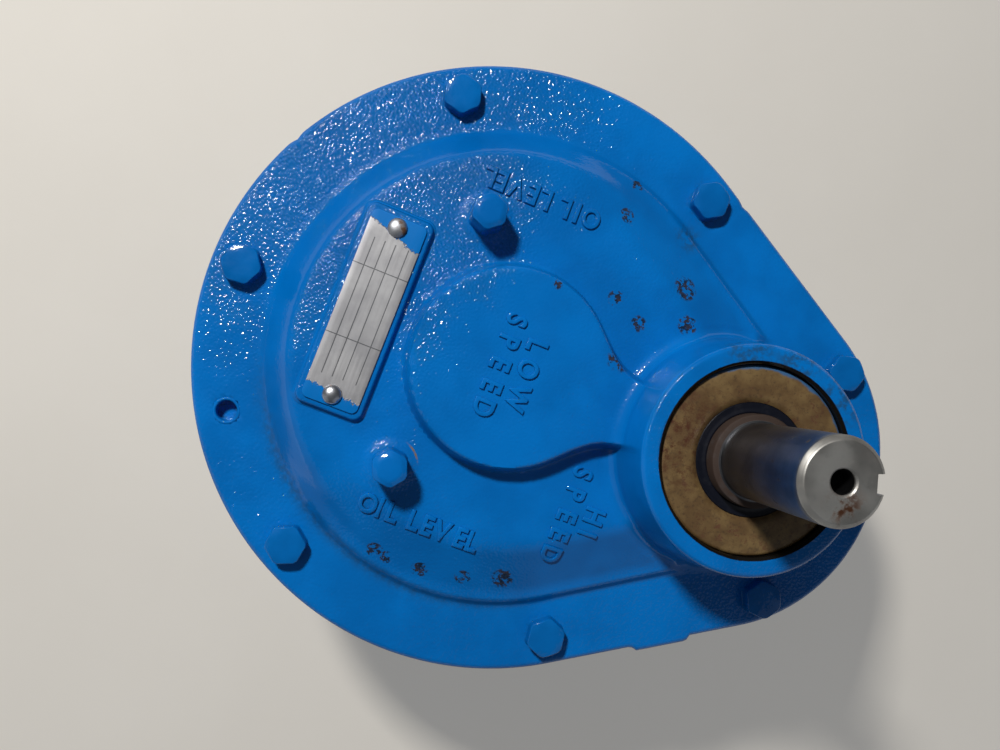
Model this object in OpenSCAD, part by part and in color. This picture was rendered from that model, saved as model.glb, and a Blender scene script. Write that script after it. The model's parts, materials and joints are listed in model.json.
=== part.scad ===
// Single-reduction parallel-shaft gear reducer: a helical pinion on the high-speed
// shaft drives a wheel on the low-speed shaft, on ball bearings in a two-part casting.
// +Z runs along both shafts towards the high-speed extension and +X from the low-speed
// axis to the high-speed axis. The origin is on the low-speed axis, in the rear
// mounting face of the case.

/* [Gears] */
// Distance between the two shaft axes
centre_distance = 95.25; // [88:0.25:118]
// Teeth on the low-speed wheel
gear_teeth = 67; // [60:1:72]
// Teeth on the high-speed pinion
pinion_teeth = 16; // [15:1:18]
// Width of the toothed faces
face_width = 32; // [24:1:42]
// Helix angle of the teeth
helix_angle = 18; // [8:1:24]
// Play between meshed teeth, along the pitch circle
backlash = 0.3; // [0.2:0.05:0.5]

/* [High-speed shaft] */
// Diameter of the high-speed shaft extension
hs_shaft_d = 28.575; // [22:0.125:32]
// Length of the extension beyond its shoulder
hs_ext_len = 61.8; // [45:0.1:80]
// Width of the extension's keyway
hs_key_w = 6.35; // [5:0.05:8]
// Depth of the extension's keyway, at its side wall
hs_key_depth = 3.2; // [2.5:0.1:4]
// Turn of the keyway from the +X direction
hs_key_angle = 17; // [-180:1:180]

/* [Low-speed shaft] */
// Diameter of the low-speed shaft extension
ls_shaft_d = 36.5125; // [30:0.125:38]
// Length of the extension beyond the pilot
ls_ext_len = 63.5; // [45:0.5:80]
// Width of the extension's keyway
ls_key_w = 9.525; // [8:0.05:12]
// Depth of the extension's keyway, at its side wall
ls_key_depth = 4.8; // [4.4:0.1:6]

/* [Bearings] */
// Front high-speed bearing: bore, outside diameter, width, ball diameter
hs_front_size = [35, 72, 17, 11.1];
// Rear high-speed bearing
hs_rear_size = [30, 62, 16, 9.525];
// Front low-speed bearing
ls_front_size = [30, 62, 16, 9.525];
// Rear low-speed bearing
ls_rear_size = [40, 80, 18, 12];
// Balls in each bearing
ball_count = 9; // [7:1:9]
// Play between a ball and its grooves or its cage pocket
ball_play = 0.12; // [0.08:0.02:0.2]

/* [Castings] */
// Wall of the case and the cover
wall = 9.5; // [8:0.5:12]
// Thickness of the joint flanges
flange_t = 12.7; // [10:0.1:16]
// Width of the cover's rim outside the dome, round the wheel
rim_w = 26.5; // [24:0.5:32]
// Width of the cover's rim outside the dome, round the pinion
rim_w_hs = 28; // [26:0.5:34]
// Space between the wheel's tooth tips and the wall
tip_space = 7; // [5:0.5:10]
// Space between the wheel's faces and the castings
face_space = 3; // [2.5:0.5:6]
// Height of the dome's flat top above the cover's rim
dome_h = 14; // [13:0.5:18]
// How far the dome's side leans in
dome_lean = 10.5; // [6:0.5:12]
// Thickness of the dome's flat top
dome_wall = 7; // [6:0.5:8]
// Height of the low-speed boss and its web above the dome
ls_boss_h = 9; // [8:0.5:14]
// Wall of the bearing bosses, beyond the bearing
boss_wall = 7.6; // [6:0.2:10]
// Floor of the case
floor_t = 8; // [6:0.5:12]
// Thickness of the gasket
gasket_t = 0.8; // [0.4:0.1:1.2]

/* [Mounting] */
// Radius of the rear mounting boss
mount_boss_r = 66; // [62:0.5:70]
// Radius of the bolt circle on the mounting face
mount_circle_r = 54; // [53:0.5:56]
// Number of mounting holes
mount_holes = 4; // [4:1:6]
// Radius of the tapped 3/8 in holes
tap_r = 3.97; // [3.5:0.01:4.2]
// Radius of the pilot
pilot_r = 42; // [41:0.5:44]
// Height of the pilot
pilot_h = 4; // [3:0.5:6]

/* [Fasteners] */
// Width across flats of the cover bolts' heads
bolt_af = 14.29; // [12:0.01:17]
// Height of the heads
bolt_head_h = 6; // [5:0.1:8]
// Radius of the bolts' shanks
bolt_r = 4.7625; // [4:0.0125:5]
// Depth of the bolt in the case flange
bolt_grip = 11.5; // [9:0.5:14]
// Radius of the pipe plugs' threads
plug_r = 5.14; // [4.8:0.02:6.6]
// Width across flats of the pipe plugs' heads
plug_af = 12.7; // [11:0.01:14.3]
// Height of the oil-level plugs above the dome
plug_h = 16; // [8:0.5:20]
// Radius of the locating dowels
dowel_r = 4; // [3:0.25:5]

/* [Name plate] */
// Length of the name plate
plate_l = 76; // [60:1:80]
// Width of the name plate
plate_w = 22; // [18:0.5:26]
// Thickness of the name plate
plate_t = 0.8; // [0.5:0.1:1.5]

/* [Seals] */
// Width of the oil seals
seal_w = 10; // [8:0.5:12]
// Thickness of the seals' steel cases
seal_sheet = 1.5; // [1:0.1:2]
// How deep the seals sit below the faces round them
seal_recess = 2.8; // [1:0.1:4]
// Outside diameter of the low-speed seal
ls_seal_d = 62; // [58:1:68]
// Gap between a seal's lip and its shaft
lip_gap = 0.05; // [0.02:0.01:0.1]

/* [Hidden] */
$fn = 96;
eps = 0.01;

// Tooth form: transverse module, pressure angle, pitch, base, tip and root radii
mt = 2*centre_distance/(gear_teeth + pinion_teeth);
mn = mt*cos(helix_angle);
pressure = atan(tan(20)/cos(helix_angle));
gear_pitch_r = mt*gear_teeth/2;
pinion_pitch_r = mt*pinion_teeth/2;
gear_tip_r = gear_pitch_r + mn;
pinion_tip_r = pinion_pitch_r + mn;
pinion_root_r = pinion_pitch_r - 1.25*mn;
gear_slices = 4;            // straight steps along a twisted tooth
pinion_slices = 6;
gear_steps = 2;             // straight steps up a tooth's flank
pinion_steps = 3;
pinion_over = 1;            // the pinion stands past the wheel at each end
// A wheel tooth's middle lies on the line of centres in the wheel's bottom face. The
// pinion starts with a tooth space there, turned on by its longer bottom end.
pinion_start = 180 + 180/pinion_teeth
    - pinion_over*tan(helix_angle)/pinion_pitch_r*180/PI;

// Chamber and outlines, as a radius round the wheel and a radius round the pinion
chamber = [gear_tip_r + tip_space, hs_front_size[1]/2 + 1];
body = [chamber[0] + wall, chamber[1] + wall];
rim = [body[0] + rim_w, body[1] + rim_w_hs];
edge_break = 1.2;           // chamfer on the castings' rims

// Rings and small gaps along the shafts
hs_lip_t = 2;               // lip that the front high-speed bearing sits on
hs_lip_w = 4.5;
hs_ring_t = 2.4;            // snap ring in the cover
hs_ring_w = 3.5;            // how far that ring stands into the bore
shaft_ring_w = 3;           // how far the shaft's snap ring stands out
lip_wall = 4.1;             // radial depth of the seals' rubber
spring_r = 0.8;             // wire of the seals' springs, as a ring
ring_space = 0.6;           // from that ring to the seal
shoulder_proud = 1.7;       // the shaft's shoulder stands out of the boss
seal_back = 1;              // the low-speed bearing lies this far below the floor

// Heights, from the rear mounting face upwards
ls_seal_z = seal_recess - pilot_h;
ls_rear_z = ls_seal_z + seal_w;
floor_top = ls_rear_z + ls_rear_size[2] + seal_back;
floor_z = floor_top - floor_t;
gear_z = floor_top + face_space;
gear_top = gear_z + face_width;
pinion_z = gear_z - pinion_over;
pinion_top = gear_top + pinion_over;
hs_rear_z = floor_top - hs_rear_size[2];
ls_front_z = gear_top + face_space;
ceiling = ls_front_z + dome_wall;
dome_z = ceiling + dome_wall;
rim_z = dome_z - dome_h;
split_z = rim_z - flange_t;
case_top = split_z - gasket_t;
case_rim_z = case_top - flange_t;
boss_z = dome_z + ls_boss_h;
hs_front_z = ceiling + hs_lip_t;
hs_ring_z = hs_front_z + hs_front_size[2];
hs_seal_z = hs_ring_z + hs_ring_t + ring_space;
hs_boss_z = hs_seal_z + seal_w + seal_recess;
hs_shoulder_z = hs_boss_z + shoulder_proud;
hs_end_z = hs_shoulder_z + hs_ext_len;
washer_t = 1.5;

// Shaft steps
hs_collar_r = hs_front_size[0]/2 + 3.5;
hs_rear_collar_r = hs_rear_size[0]/2 + 3;
ls_collar_r = ls_rear_size[0]/2 + 5;
gear_seat_r = ls_rear_size[0]/2 + 2.5;
shaft_ring_t = 1.6;
shaft_ring_groove = 0.9;
ring_gap = 0.05;
ring_bite = 1.4;            // how deep the cover's snap ring sits in its groove
centre_hole_len = 20;
shaft_chamfer = 1.6;
key_hs_len = 48;
key_ls_len = 48;
gear_key_len = face_width - 4;
gear_key_w = 9.525;
gear_key_sink = gear_key_w/2;
key_top_gap = 0.2;

// Bosses on the castings
hs_boss_cone_h = 12;
boss_break = 1.5;           // chamfer round the bosses' tops
hs_boss_r = hs_front_size[1]/2 + boss_wall;
ls_boss_r = ls_front_size[1]/2 + boss_wall;
web_half = 13.7;            // half the width of the web between the bosses
web_fillets = [10, 4];      // radii where the web meets the low-speed boss, at +Y and -Y
rib_w = 8;
rib_h = 8;
tab_l = 21;                 // tab on the rim's straight side at -Y
tab_at = 37.4;              // from where that side begins
tab_h = 2;
hs_rear_boss_r = hs_rear_size[1]/2 + wall - 0.5;
hs_rear_boss_z = hs_rear_z - wall + 2.5;
mount_hole_depth = floor_z - 4;

// Cover fasteners, as [x, y] places
bolt_circle_r = rim[0] - 12.4;
bolt_circle_hs = rim[1] - 10.1;
bolt_angles = [60, 120, 180, 240, 300];
bolt_hs_angle = 51.3;
jack_angle = 210;
dowel_angle = 150;
bolt_places = concat(
    [for (a = bolt_angles) bolt_circle_r*[cos(a), sin(a)]],
    [for (s = [-1, 1]) [centre_distance + bolt_circle_hs*cos(bolt_hs_angle),
        s*bolt_circle_hs*sin(bolt_hs_angle)]]);
dowel_places = [bolt_circle_r*[cos(dowel_angle), sin(dowel_angle)],
    [centre_distance + bolt_circle_hs, 0]];
dowel_depth = 8.7;
dowel_end_gap = 0.4;
bolt_hole_gap = 0.6;
seat_gap = 0.02;            // round threads and seats that are not shown in full
level_plug_places = [[-29, 51], [-29, -51]];
plug_thread_len = dome_wall + 1;
plug_pad_h = 1;

// Side plugs: just clear of the flange above them
side_z = case_rim_z - plug_af/sqrt(3) - 1;
side_pad_r = 9;
side_pad_h = 3;
breather_hex_h = 8;
cap_r = plug_af/2 + 1;
stem_r = 3.4;

// Name plate pad
pad_x = -58.8;
pad_h = 2.5;
pad_edge = 2.4;             // pad shown round the plate
plate_screw_r = 3.8;
plate_screw_pin_r = 1.8;
plate_screw_y = plate_l/2 - 4.2;

// ---------- outlines and small shapes ----------

// The pear outline: an arc round each axis, joined by their two tangents, which touch
// both arcs at the angle a from the line of centres
function arc_points(r, x, from, to, steps) =
    [for (i = [0:steps]) let (t = from + (to - from)*i/steps) [x + r*cos(t), r*sin(t)]];

module pear(radii) {
    a = acos((radii[0] - radii[1])/centre_distance);
    polygon(concat(
        arc_points(radii[0], 0, a, 360 - a, 80),
        arc_points(radii[1], centre_distance, -a, a, 30)));
}

module pear_slab(radii, z, h) {
    translate([0, 0, z]) linear_extrude(h) pear(radii);
}

// A pear slab whose side leans in by lean over its height
module pear_taper(radii, z, h, lean) {
    hull() {
        pear_slab(radii, z, eps);
        pear_slab([radii[0] - lean, radii[1] - lean], z + h - eps, eps);
    }
}

module at_hs() {
    translate([centre_distance, 0, 0]) children();
}

module post(r, z, h) {
    translate([0, 0, z]) cylinder(r = r, h = h);
}

module cone(r1, r2, z, h) {
    translate([0, 0, z]) cylinder(r1 = r1, r2 = r2, h = h);
}

module tube(r_out, r_in, z, h) {
    difference() {
        post(r_out, z, h);
        post(r_in, z - 1, h + 2);
    }
}

// A hexagonal head with a chamfered top
module hex_head(af, h) {
    corner = af/sqrt(3);
    intersection() {
        cylinder(r = corner, h = h, $fn = 6);
        union() {
            cylinder(r = corner + 1, h = h - 1.2);
            cone(corner + 0.3, af/2 - 0.4, h - 1.2, 1.2);
        }
    }
}

// A pipe plug standing on its sealing face, thread downwards
module pipe_plug(head_h, thread_len) {
    hex_head(plug_af, head_h);
    post(plug_r, -thread_len, thread_len);
}

// ---------- gear teeth ----------

function involute(a) = tan(a)*180/PI - a;

// Half the angle that a tooth fills at radius r
function tooth_half(teeth, rp, r) =
    90/teeth - backlash/4/rp*180/PI + involute(pressure)
    - involute(acos(min(1, rp*cos(pressure)/r)));

// One tooth's points, root to tip and down the other flank, round the angle mid
function tooth(teeth, rp, mid, steps) = let (
    root = rp - 1.25*mn,
    low = max(root + 0.3*mn, rp*cos(pressure) + 0.01),
    tip = rp + mn,
    radii = [for (i = [0:steps]) low + (tip - low)*i/steps],
    foot = tooth_half(teeth, rp, low) + 10/teeth,
    left = concat([[root, foot]], [for (r = radii) [r, tooth_half(teeth, rp, r)]]))
    concat([for (p = left) p[0]*[cos(mid - p[1]), sin(mid - p[1])]],
        [for (i = [len(left) - 1:-1:0]) left[i][0]*[cos(mid + left[i][1]), sin(mid + left[i][1])]]);

// Twisted toothed prism; hand is 1 or -1, start turns the first tooth's middle
module toothed(teeth, rp, h, hand, start, slices, steps) {
    linear_extrude(height = h, twist = hand*h*tan(helix_angle)/rp*180/PI, slices = slices)
        polygon([for (i = [0:teeth - 1]) each tooth(teeth, rp, start + 360*i/teeth, steps)]);
}

// ---------- bearings and seals, each round its own axis from z = 0 ----------

function pitch_r(size) = (size[0] + size[1])/4;
function race_step(size) = 0.52*size[3]/2;

module ring_section(r_in, r_out, w, c) {
    polygon([[r_in + c, 0], [r_out - c, 0], [r_out, c], [r_out, w - c],
        [r_out - c, w], [r_in + c, w], [r_in, w - c], [r_in, c]]);
}

module groove(size) {
    translate([pitch_r(size), size[2]/2]) circle(size[3]/2 + ball_play);
}

module outer_race(size) {
    rotate_extrude() difference() {
        ring_section(pitch_r(size) + race_step(size), size[1]/2, size[2], 0.8);
        groove(size);
    }
}

module inner_race(size) {
    rotate_extrude() difference() {
        ring_section(size[0]/2, pitch_r(size) - race_step(size), size[2], 0.8);
        groove(size);
    }
}

module ball_places(size) {
    for (i = [0:ball_count - 1])
        rotate(360*i/ball_count) translate([pitch_r(size), 0, size[2]/2]) children();
}

module balls(size) {
    ball_places(size) sphere(r = size[3]/2);
}

module cage(size) {
    cage_h = size[3] + 2.4;
    difference() {
        translate([0, 0, (size[2] - cage_h)/2])
            tube(pitch_r(size) + 0.3*size[3]/2, pitch_r(size) - 0.3*size[3]/2, 0, cage_h);
        ball_places(size) rotate([0, 90, 0])
            cylinder(r = size[3]/2 + ball_play, h = size[3], center = true);
    }
}

// Oil seal from its inner face at z = 0 to its outer face at z = seal_w
module seal_case(r_out, shaft_r) {
    r_hole = shaft_r + lip_wall;
    rotate_extrude() polygon([[r_out, 0], [r_out, seal_w - 1], [r_out - 1, seal_w],
        [r_hole, seal_w], [r_hole, seal_w - seal_sheet],
        [r_out - seal_sheet, seal_w - seal_sheet], [r_out - seal_sheet, 0]]);
}

module seal_spring_section(shaft_r) {
    translate([shaft_r + 2.6, 3.2]) circle(spring_r, $fn = 32);
}

module seal_lip(shaft_r) {
    r_hole = shaft_r + lip_wall;
    r_lip = shaft_r + lip_gap;
    rotate_extrude() difference() {
        polygon([[r_hole, seal_w - 0.4], [r_hole - 2.2, seal_w - 1.2], [r_lip + 0.6, seal_w - 0.9],
            [r_lip, seal_w - 1.6], [r_lip + 1.5, seal_w - 3.4], [r_lip, 3.8], [r_lip, 3.2],
            [r_lip + 1.2, 1.4], [r_hole - 0.4, 1.4], [r_hole, seal_w - 4]]);
        seal_spring_section(shaft_r);
    }
}

module seal_spring(shaft_r) {
    rotate_extrude() seal_spring_section(shaft_r);
}

// A snap ring with a gap between its eyes
module snap_ring(r_in, r_out, t, gap_angle, gap) {
    difference() {
        tube(r_out, r_in, 0, t);
        rotate(gap_angle) translate([r_in/2, -gap/2, -1]) cube([r_out, gap, t + 2]);
    }
}

// Keyway cut along a shaft: its floor lies sink below the surface at the key's side
module keyway(r, w, sink, len) {
    floor_r = sqrt(r*r - w*w/4) - sink;
    translate([floor_r, -w/2, 0]) cube([r, w, len]);
}

// ---------- castings ----------

module gear_case() {
    color("dodgerblue") difference() {
        union() {
            pear_slab(rim, case_rim_z + edge_break, flange_t - edge_break);
            mirror([0, 0, 1]) pear_taper(rim, -case_rim_z - edge_break, edge_break, edge_break);
            pear_slab(body, floor_z, case_rim_z - floor_z + edge_break);
            post(mount_boss_r, 0, floor_z + eps);
            post(pilot_r, -pilot_h, pilot_h + 1);
            at_hs() post(hs_rear_boss_r, hs_rear_boss_z, floor_z - hs_rear_boss_z + eps);
            case_ribs();
            side_boss(180, body[0]);
            at_hs() side_boss(0, body[1]);
        }
        pear_slab(chamber, floor_top, case_top - floor_top + 1);
        post(ls_rear_size[1]/2, ls_rear_z, floor_top);
        post(ls_seal_d/2, -pilot_h - 1, ls_rear_z + pilot_h + 2);
        at_hs() post(hs_rear_size[1]/2, hs_rear_z, floor_top);
        for (i = [0:mount_holes - 1]) rotate(360*(i + 0.5)/mount_holes)
            translate([mount_circle_r, 0, -1]) cylinder(r = tap_r, h = mount_hole_depth + 1);
        for (p = bolt_places) translate([p[0], p[1], case_rim_z - 1])
            cylinder(r = bolt_r + seat_gap, h = flange_t + 2);
        for (p = dowel_places) translate([p[0], p[1], case_top - dowel_depth])
            cylinder(r = dowel_r, h = dowel_depth + 1);
        side_hole(180, body[0]);
        at_hs() side_hole(0, body[1]);
    }
}

// Ribs from the mounting boss to the wall
module case_ribs() {
    for (a = [90, 135, 180, 225, 270]) rotate(a)
        translate([mount_boss_r - 3, -rib_w/2, floor_z - rib_h])
            cube([body[0] - mount_boss_r - 3, rib_w, rib_h + eps]);
    translate([mount_boss_r - 3, -rib_w/2, hs_rear_boss_z + 2])
        cube([centre_distance - mount_boss_r - hs_rear_boss_r + 8, rib_w,
            floor_z - hs_rear_boss_z - 2 + eps]);
}

// Flat round pads in the side wall for the drain plug and the breather
module side_boss(angle, r) {
    rotate(angle) translate([r - wall + 2, 0, side_z]) rotate([0, 90, 0])
        cylinder(r = side_pad_r, h = wall - 2 + side_pad_h);
}

module side_hole(angle, r) {
    rotate(angle) translate([r - wall - 3, 0, side_z]) rotate([0, 90, 0])
        cylinder(r = plug_r + seat_gap, h = wall + side_pad_h + 4);
}

// One fillet's points, from the low-speed boss to the web's side at +Y
function web_fillet(r) = let (
    y = web_half + r,
    x = sqrt(pow(ls_boss_r - 0.2 + r, 2) - y*y))
    [for (p = arc_points(r, 0, 180 + atan2(y, x), 270, 8)) [p[0] + x, p[1] + y]];

// The web from the low-speed boss to the high-speed boss
module boss_web() {
    low = web_fillet(web_fillets[1]);
    translate([0, 0, dome_z - 1]) linear_extrude(ls_boss_h + 1) polygon(concat(
        [[0, 0]], web_fillet(web_fillets[0]),
        [[centre_distance, web_half], [centre_distance, -web_half]],
        [for (i = [len(low) - 1:-1:0]) [low[i][0], -low[i][1]]]));
}

module case_cover() {
    color("dodgerblue") difference() {
        union() {
            pear_slab(rim, split_z, flange_t - edge_break);
            pear_taper(rim, rim_z - edge_break, edge_break, edge_break);
            pear_taper(body, rim_z - eps, dome_h + eps, dome_lean);
            post(ls_boss_r, dome_z - 1, ls_boss_h + 1 - boss_break);
            cone(ls_boss_r, ls_boss_r - boss_break, boss_z - boss_break, boss_break);
            at_hs() cone(hs_boss_r + 3, hs_boss_r, rim_z - eps, hs_boss_cone_h);
            at_hs() post(hs_boss_r, rim_z + 1, hs_boss_z - rim_z - 1 - boss_break);
            at_hs() cone(hs_boss_r, hs_boss_r - boss_break, hs_boss_z - boss_break, boss_break);
            boss_web();
            translate([pad_x - plate_w/2 - pad_edge, -plate_l/2 - pad_edge, dome_z - 1])
                cube([plate_w + 2*pad_edge, plate_l + 2*pad_edge, pad_h + 1]);
            for (p = level_plug_places) translate([p[0], p[1], dome_z - 1])
                cylinder(r = plug_af/2 + 2.5, h = plug_pad_h + 1);
            cover_tab();
        }
        difference() {
            union() {
                pear_slab(chamber, split_z - 1, ls_front_z + 3 - split_z + 1);
                pear_slab([chamber[0] - 4, chamber[1] - 4], ls_front_z, ceiling - ls_front_z);
            }
            post(ls_boss_r, ls_front_z, ceiling);
        }
        post(ls_front_size[1]/2, ls_front_z - 1, ls_front_size[2] + washer_t + 1);
        at_hs() post(hs_front_size[1]/2 - hs_lip_w, ceiling - 1, hs_lip_t + 2);
        at_hs() post(hs_front_size[1]/2, hs_front_z, hs_boss_z);
        at_hs() cone(hs_front_size[1]/2, hs_front_size[1]/2 + 1, hs_boss_z - 1, 1 + eps);
        at_hs() post(hs_front_size[1]/2 + ring_bite + 0.1, hs_ring_z, hs_ring_t);
        for (p = bolt_places) translate([p[0], p[1], split_z - 1])
            cylinder(r = bolt_r + bolt_hole_gap, h = flange_t + 2);
        for (p = dowel_places) translate([p[0], p[1], split_z - 1])
            cylinder(r = dowel_r, h = dowel_depth + 1);
        rotate(jack_angle) translate([bolt_circle_r, 0, split_z - 1])
            cylinder(r = tap_r, h = flange_t + 2);
        for (p = level_plug_places) translate([p[0], p[1], ceiling - 3])
            cylinder(r = plug_r + seat_gap, h = dome_wall + 6);
        for (s = [-1, 1]) translate([pad_x, s*plate_screw_y, dome_z - 3])
            cylinder(r = plate_screw_pin_r, h = pad_h + 4);
    }
}

module cover_tab() {
    a = acos((rim[0] - rim[1])/centre_distance);
    translate([rim[0]*cos(a), -rim[0]*sin(a), split_z]) rotate(90 - a)
        linear_extrude(flange_t - edge_break)
            polygon([[tab_at - 3, 1], [tab_at - 2, 0], [tab_at, -tab_h],
                [tab_at + tab_l, -tab_h], [tab_at + tab_l + 2, 0], [tab_at + tab_l + 3, 1]]);
}

module cover_gasket() {
    color("darkkhaki") difference() {
        pear_slab(rim - [0.5, 0.5], case_top, gasket_t);
        pear_slab(chamber + [0.5, 0.5], case_top - 1, gasket_t + 2);
        for (p = bolt_places) translate([p[0], p[1], case_top - 1])
            cylinder(r = bolt_r + bolt_hole_gap, h = gasket_t + 2);
        for (p = dowel_places) translate([p[0], p[1], case_top - 1])
            cylinder(r = dowel_r + seat_gap, h = gasket_t + 2);
    }
}

// ---------- fasteners, plugs and plate ----------

module cover_bolts() {
    color("royalblue") for (i = [0:len(bolt_places) - 1])
        translate([bolt_places[i][0], bolt_places[i][1], rim_z]) rotate(17*i) {
            hex_head(bolt_af, bolt_head_h);
            post(bolt_r, -flange_t - gasket_t - bolt_grip, flange_t + gasket_t + bolt_grip);
        }
}

module cover_dowels() {
    color("silver") for (p = dowel_places)
        translate([p[0], p[1], case_top - dowel_depth])
            cylinder(r = dowel_r, h = 2*dowel_depth + gasket_t - dowel_end_gap);
}

module oil_level_plugs() {
    color("royalblue") for (p = level_plug_places)
        translate([p[0], p[1], dome_z + plug_pad_h])
            pipe_plug(plug_h - plug_pad_h, plug_thread_len + plug_pad_h);
}

module drain_plug() {
    color("royalblue") translate([-body[0] - side_pad_h, 0, side_z]) rotate([0, -90, 0])
        pipe_plug(8, wall + side_pad_h - 0.5);
}

module breather_body() {
    color("silver") translate([centre_distance + body[1] + side_pad_h, 0, side_z])
        rotate([0, 90, 0]) difference() {
            union() {
                pipe_plug(breather_hex_h, wall + side_pad_h - 0.5);
                post(stem_r, breather_hex_h, 5);
            }
            post(1.4, -wall - side_pad_h - 1, wall + side_pad_h + breather_hex_h + 7);
        }
}

module breather_cap() {
    color("silver") translate([centre_distance + body[1] + side_pad_h + breather_hex_h + 0.6, 0, side_z])
        rotate([0, 90, 0]) difference() {
            rotate_extrude() polygon([[0, 0], [cap_r - 1, 0], [cap_r, 1], [cap_r, 7],
                [cap_r - 2, 9], [0, 9.6]]);
            post(stem_r, -1, 5.4);
            for (a = [0:60:300]) rotate(a) translate([stem_r + 2, 0, -1]) cylinder(r = 0.8, h = 4);
        }
}

module name_plate() {
    color("silver") difference() {
        translate([pad_x - plate_w/2, -plate_l/2, dome_z + pad_h]) cube([plate_w, plate_l, plate_t]);
        for (s = [-1, 1]) translate([pad_x, s*plate_screw_y, dome_z])
            cylinder(r = plate_screw_pin_r + 0.1, h = 8);
    }
}

module name_plate_screws() {
    color("silver") for (s = [-1, 1])
        translate([pad_x, s*plate_screw_y, dome_z + pad_h + plate_t]) {
            rotate_extrude() intersection() {
                translate([0, -1.9]) circle(plate_screw_r + 0.4);
                square([plate_screw_r, 3]);
            }
            post(plate_screw_pin_r, -pad_h - plate_t - 2.5, pad_h + plate_t + 2.6);
        }
}

// ---------- high-speed shaft ----------

module hs_pinion_shaft() {
    r_ext = hs_shaft_d/2;
    r_front = hs_front_size[0]/2;
    color("dimgray") at_hs() difference() {
        union() {
            translate([0, 0, pinion_z]) toothed(pinion_teeth, pinion_pitch_r,
                pinion_top - pinion_z, -1, pinion_start, pinion_slices, pinion_steps);
            post(hs_rear_size[0]/2, hs_rear_z + 1, pinion_z - hs_rear_z);
            cone(hs_rear_size[0]/2 - 1, hs_rear_size[0]/2, hs_rear_z, 1);
            post(hs_rear_collar_r, floor_top, pinion_z - floor_top);
            post(hs_collar_r, pinion_top, hs_front_z - pinion_top);
            post(r_front, hs_front_z, hs_shoulder_z - 1 - hs_front_z);
            cone(r_front, r_front - 1, hs_shoulder_z - 1, 1);
            post(r_ext, hs_shoulder_z - 2, hs_ext_len + 2 - shaft_chamfer);
            cone(r_ext, r_ext - shaft_chamfer, hs_end_z - shaft_chamfer, shaft_chamfer);
        }
        translate([0, 0, hs_ring_z]) tube(r_front + 2, r_front - shaft_ring_groove, 0, shaft_ring_t);
        rotate(hs_key_angle) translate([0, 0, hs_end_z - key_hs_len])
            keyway(r_ext, hs_key_w, hs_key_depth, key_hs_len + 1);
        post(tap_r, hs_end_z - centre_hole_len, centre_hole_len + 1);
        cone(tap_r - eps, tap_r + 0.6, hs_end_z - 0.6, 0.6 + eps);
    }
}

module hs_front() {
    at_hs() translate([0, 0, hs_front_z]) children();
}

module hs_rear() {
    at_hs() translate([0, 0, hs_rear_z]) children();
}

module hs_front_outer_race() { color("lightgray") hs_front() outer_race(hs_front_size); }
module hs_front_inner_race() { color("lightgray") hs_front() inner_race(hs_front_size); }
module hs_front_balls() { color("white") hs_front() balls(hs_front_size); }
module hs_front_cage() { color("goldenrod") hs_front() cage(hs_front_size); }
module hs_rear_outer_race() { color("lightgray") hs_rear() outer_race(hs_rear_size); }
module hs_rear_inner_race() { color("lightgray") hs_rear() inner_race(hs_rear_size); }
module hs_rear_balls() { color("white") hs_rear() balls(hs_rear_size); }
module hs_rear_cage() { color("goldenrod") hs_rear() cage(hs_rear_size); }

module hs_housing_snap_ring() {
    color("darkslategray") at_hs() translate([0, 0, hs_ring_z])
        snap_ring(hs_front_size[1]/2 - hs_ring_w, hs_front_size[1]/2 + ring_bite, hs_ring_t, 100, 12);
}

module hs_shaft_snap_ring() {
    color("darkslategray") at_hs() translate([0, 0, hs_ring_z])
        snap_ring(hs_front_size[0]/2 - shaft_ring_groove + ring_gap,
            hs_front_size[0]/2 + shaft_ring_w, shaft_ring_t, 190, 7);
}

module at_hs_seal() {
    at_hs() translate([0, 0, hs_seal_z]) children();
}

module hs_seal_case() { color("peru") at_hs_seal() seal_case(hs_front_size[1]/2, hs_front_size[0]/2); }
module hs_seal_lip() { color("black") at_hs_seal() seal_lip(hs_front_size[0]/2); }
module hs_seal_spring() { color("silver") at_hs_seal() seal_spring(hs_front_size[0]/2); }

// ---------- low-speed shaft ----------

module ls_shaft() {
    r_ext = ls_shaft_d/2;
    r_rear = ls_rear_size[0]/2;
    r_front = ls_front_size[0]/2;
    end_z = -pilot_h - ls_ext_len;
    color("dimgray") difference() {
        union() {
            cone(r_ext - shaft_chamfer, r_ext, end_z, shaft_chamfer);
            post(r_ext, end_z + shaft_chamfer, ls_ext_len - shaft_chamfer + 2);
            cone(r_rear - 1, r_rear, -pilot_h, 1);
            post(r_rear, -pilot_h + 1, ls_rear_z + ls_rear_size[2] + pilot_h);
            post(ls_collar_r, ls_rear_z + ls_rear_size[2], gear_z - ls_rear_z - ls_rear_size[2]);
            post(gear_seat_r, gear_z - 1, face_width + 1);
            post(r_front, gear_top - 1, ls_front_z - gear_top + ls_front_size[2]);
            cone(r_front, r_front - 1, ls_front_z + ls_front_size[2] - 1, 1);
        }
        translate([0, 0, end_z - 1]) keyway(r_ext, ls_key_w, ls_key_depth, key_ls_len + 1);
        translate([0, 0, gear_z + (face_width - gear_key_len)/2]) rotate(180)
            translate([gear_seat_r - gear_key_sink, -gear_key_w/2, 0])
                cube([gear_key_w, gear_key_w, gear_key_len]);
        post(tap_r, end_z - 1, centre_hole_len + 1);
        cone(tap_r + 0.6, tap_r - eps, end_z - eps, 0.6 + eps);
    }
}

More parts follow.
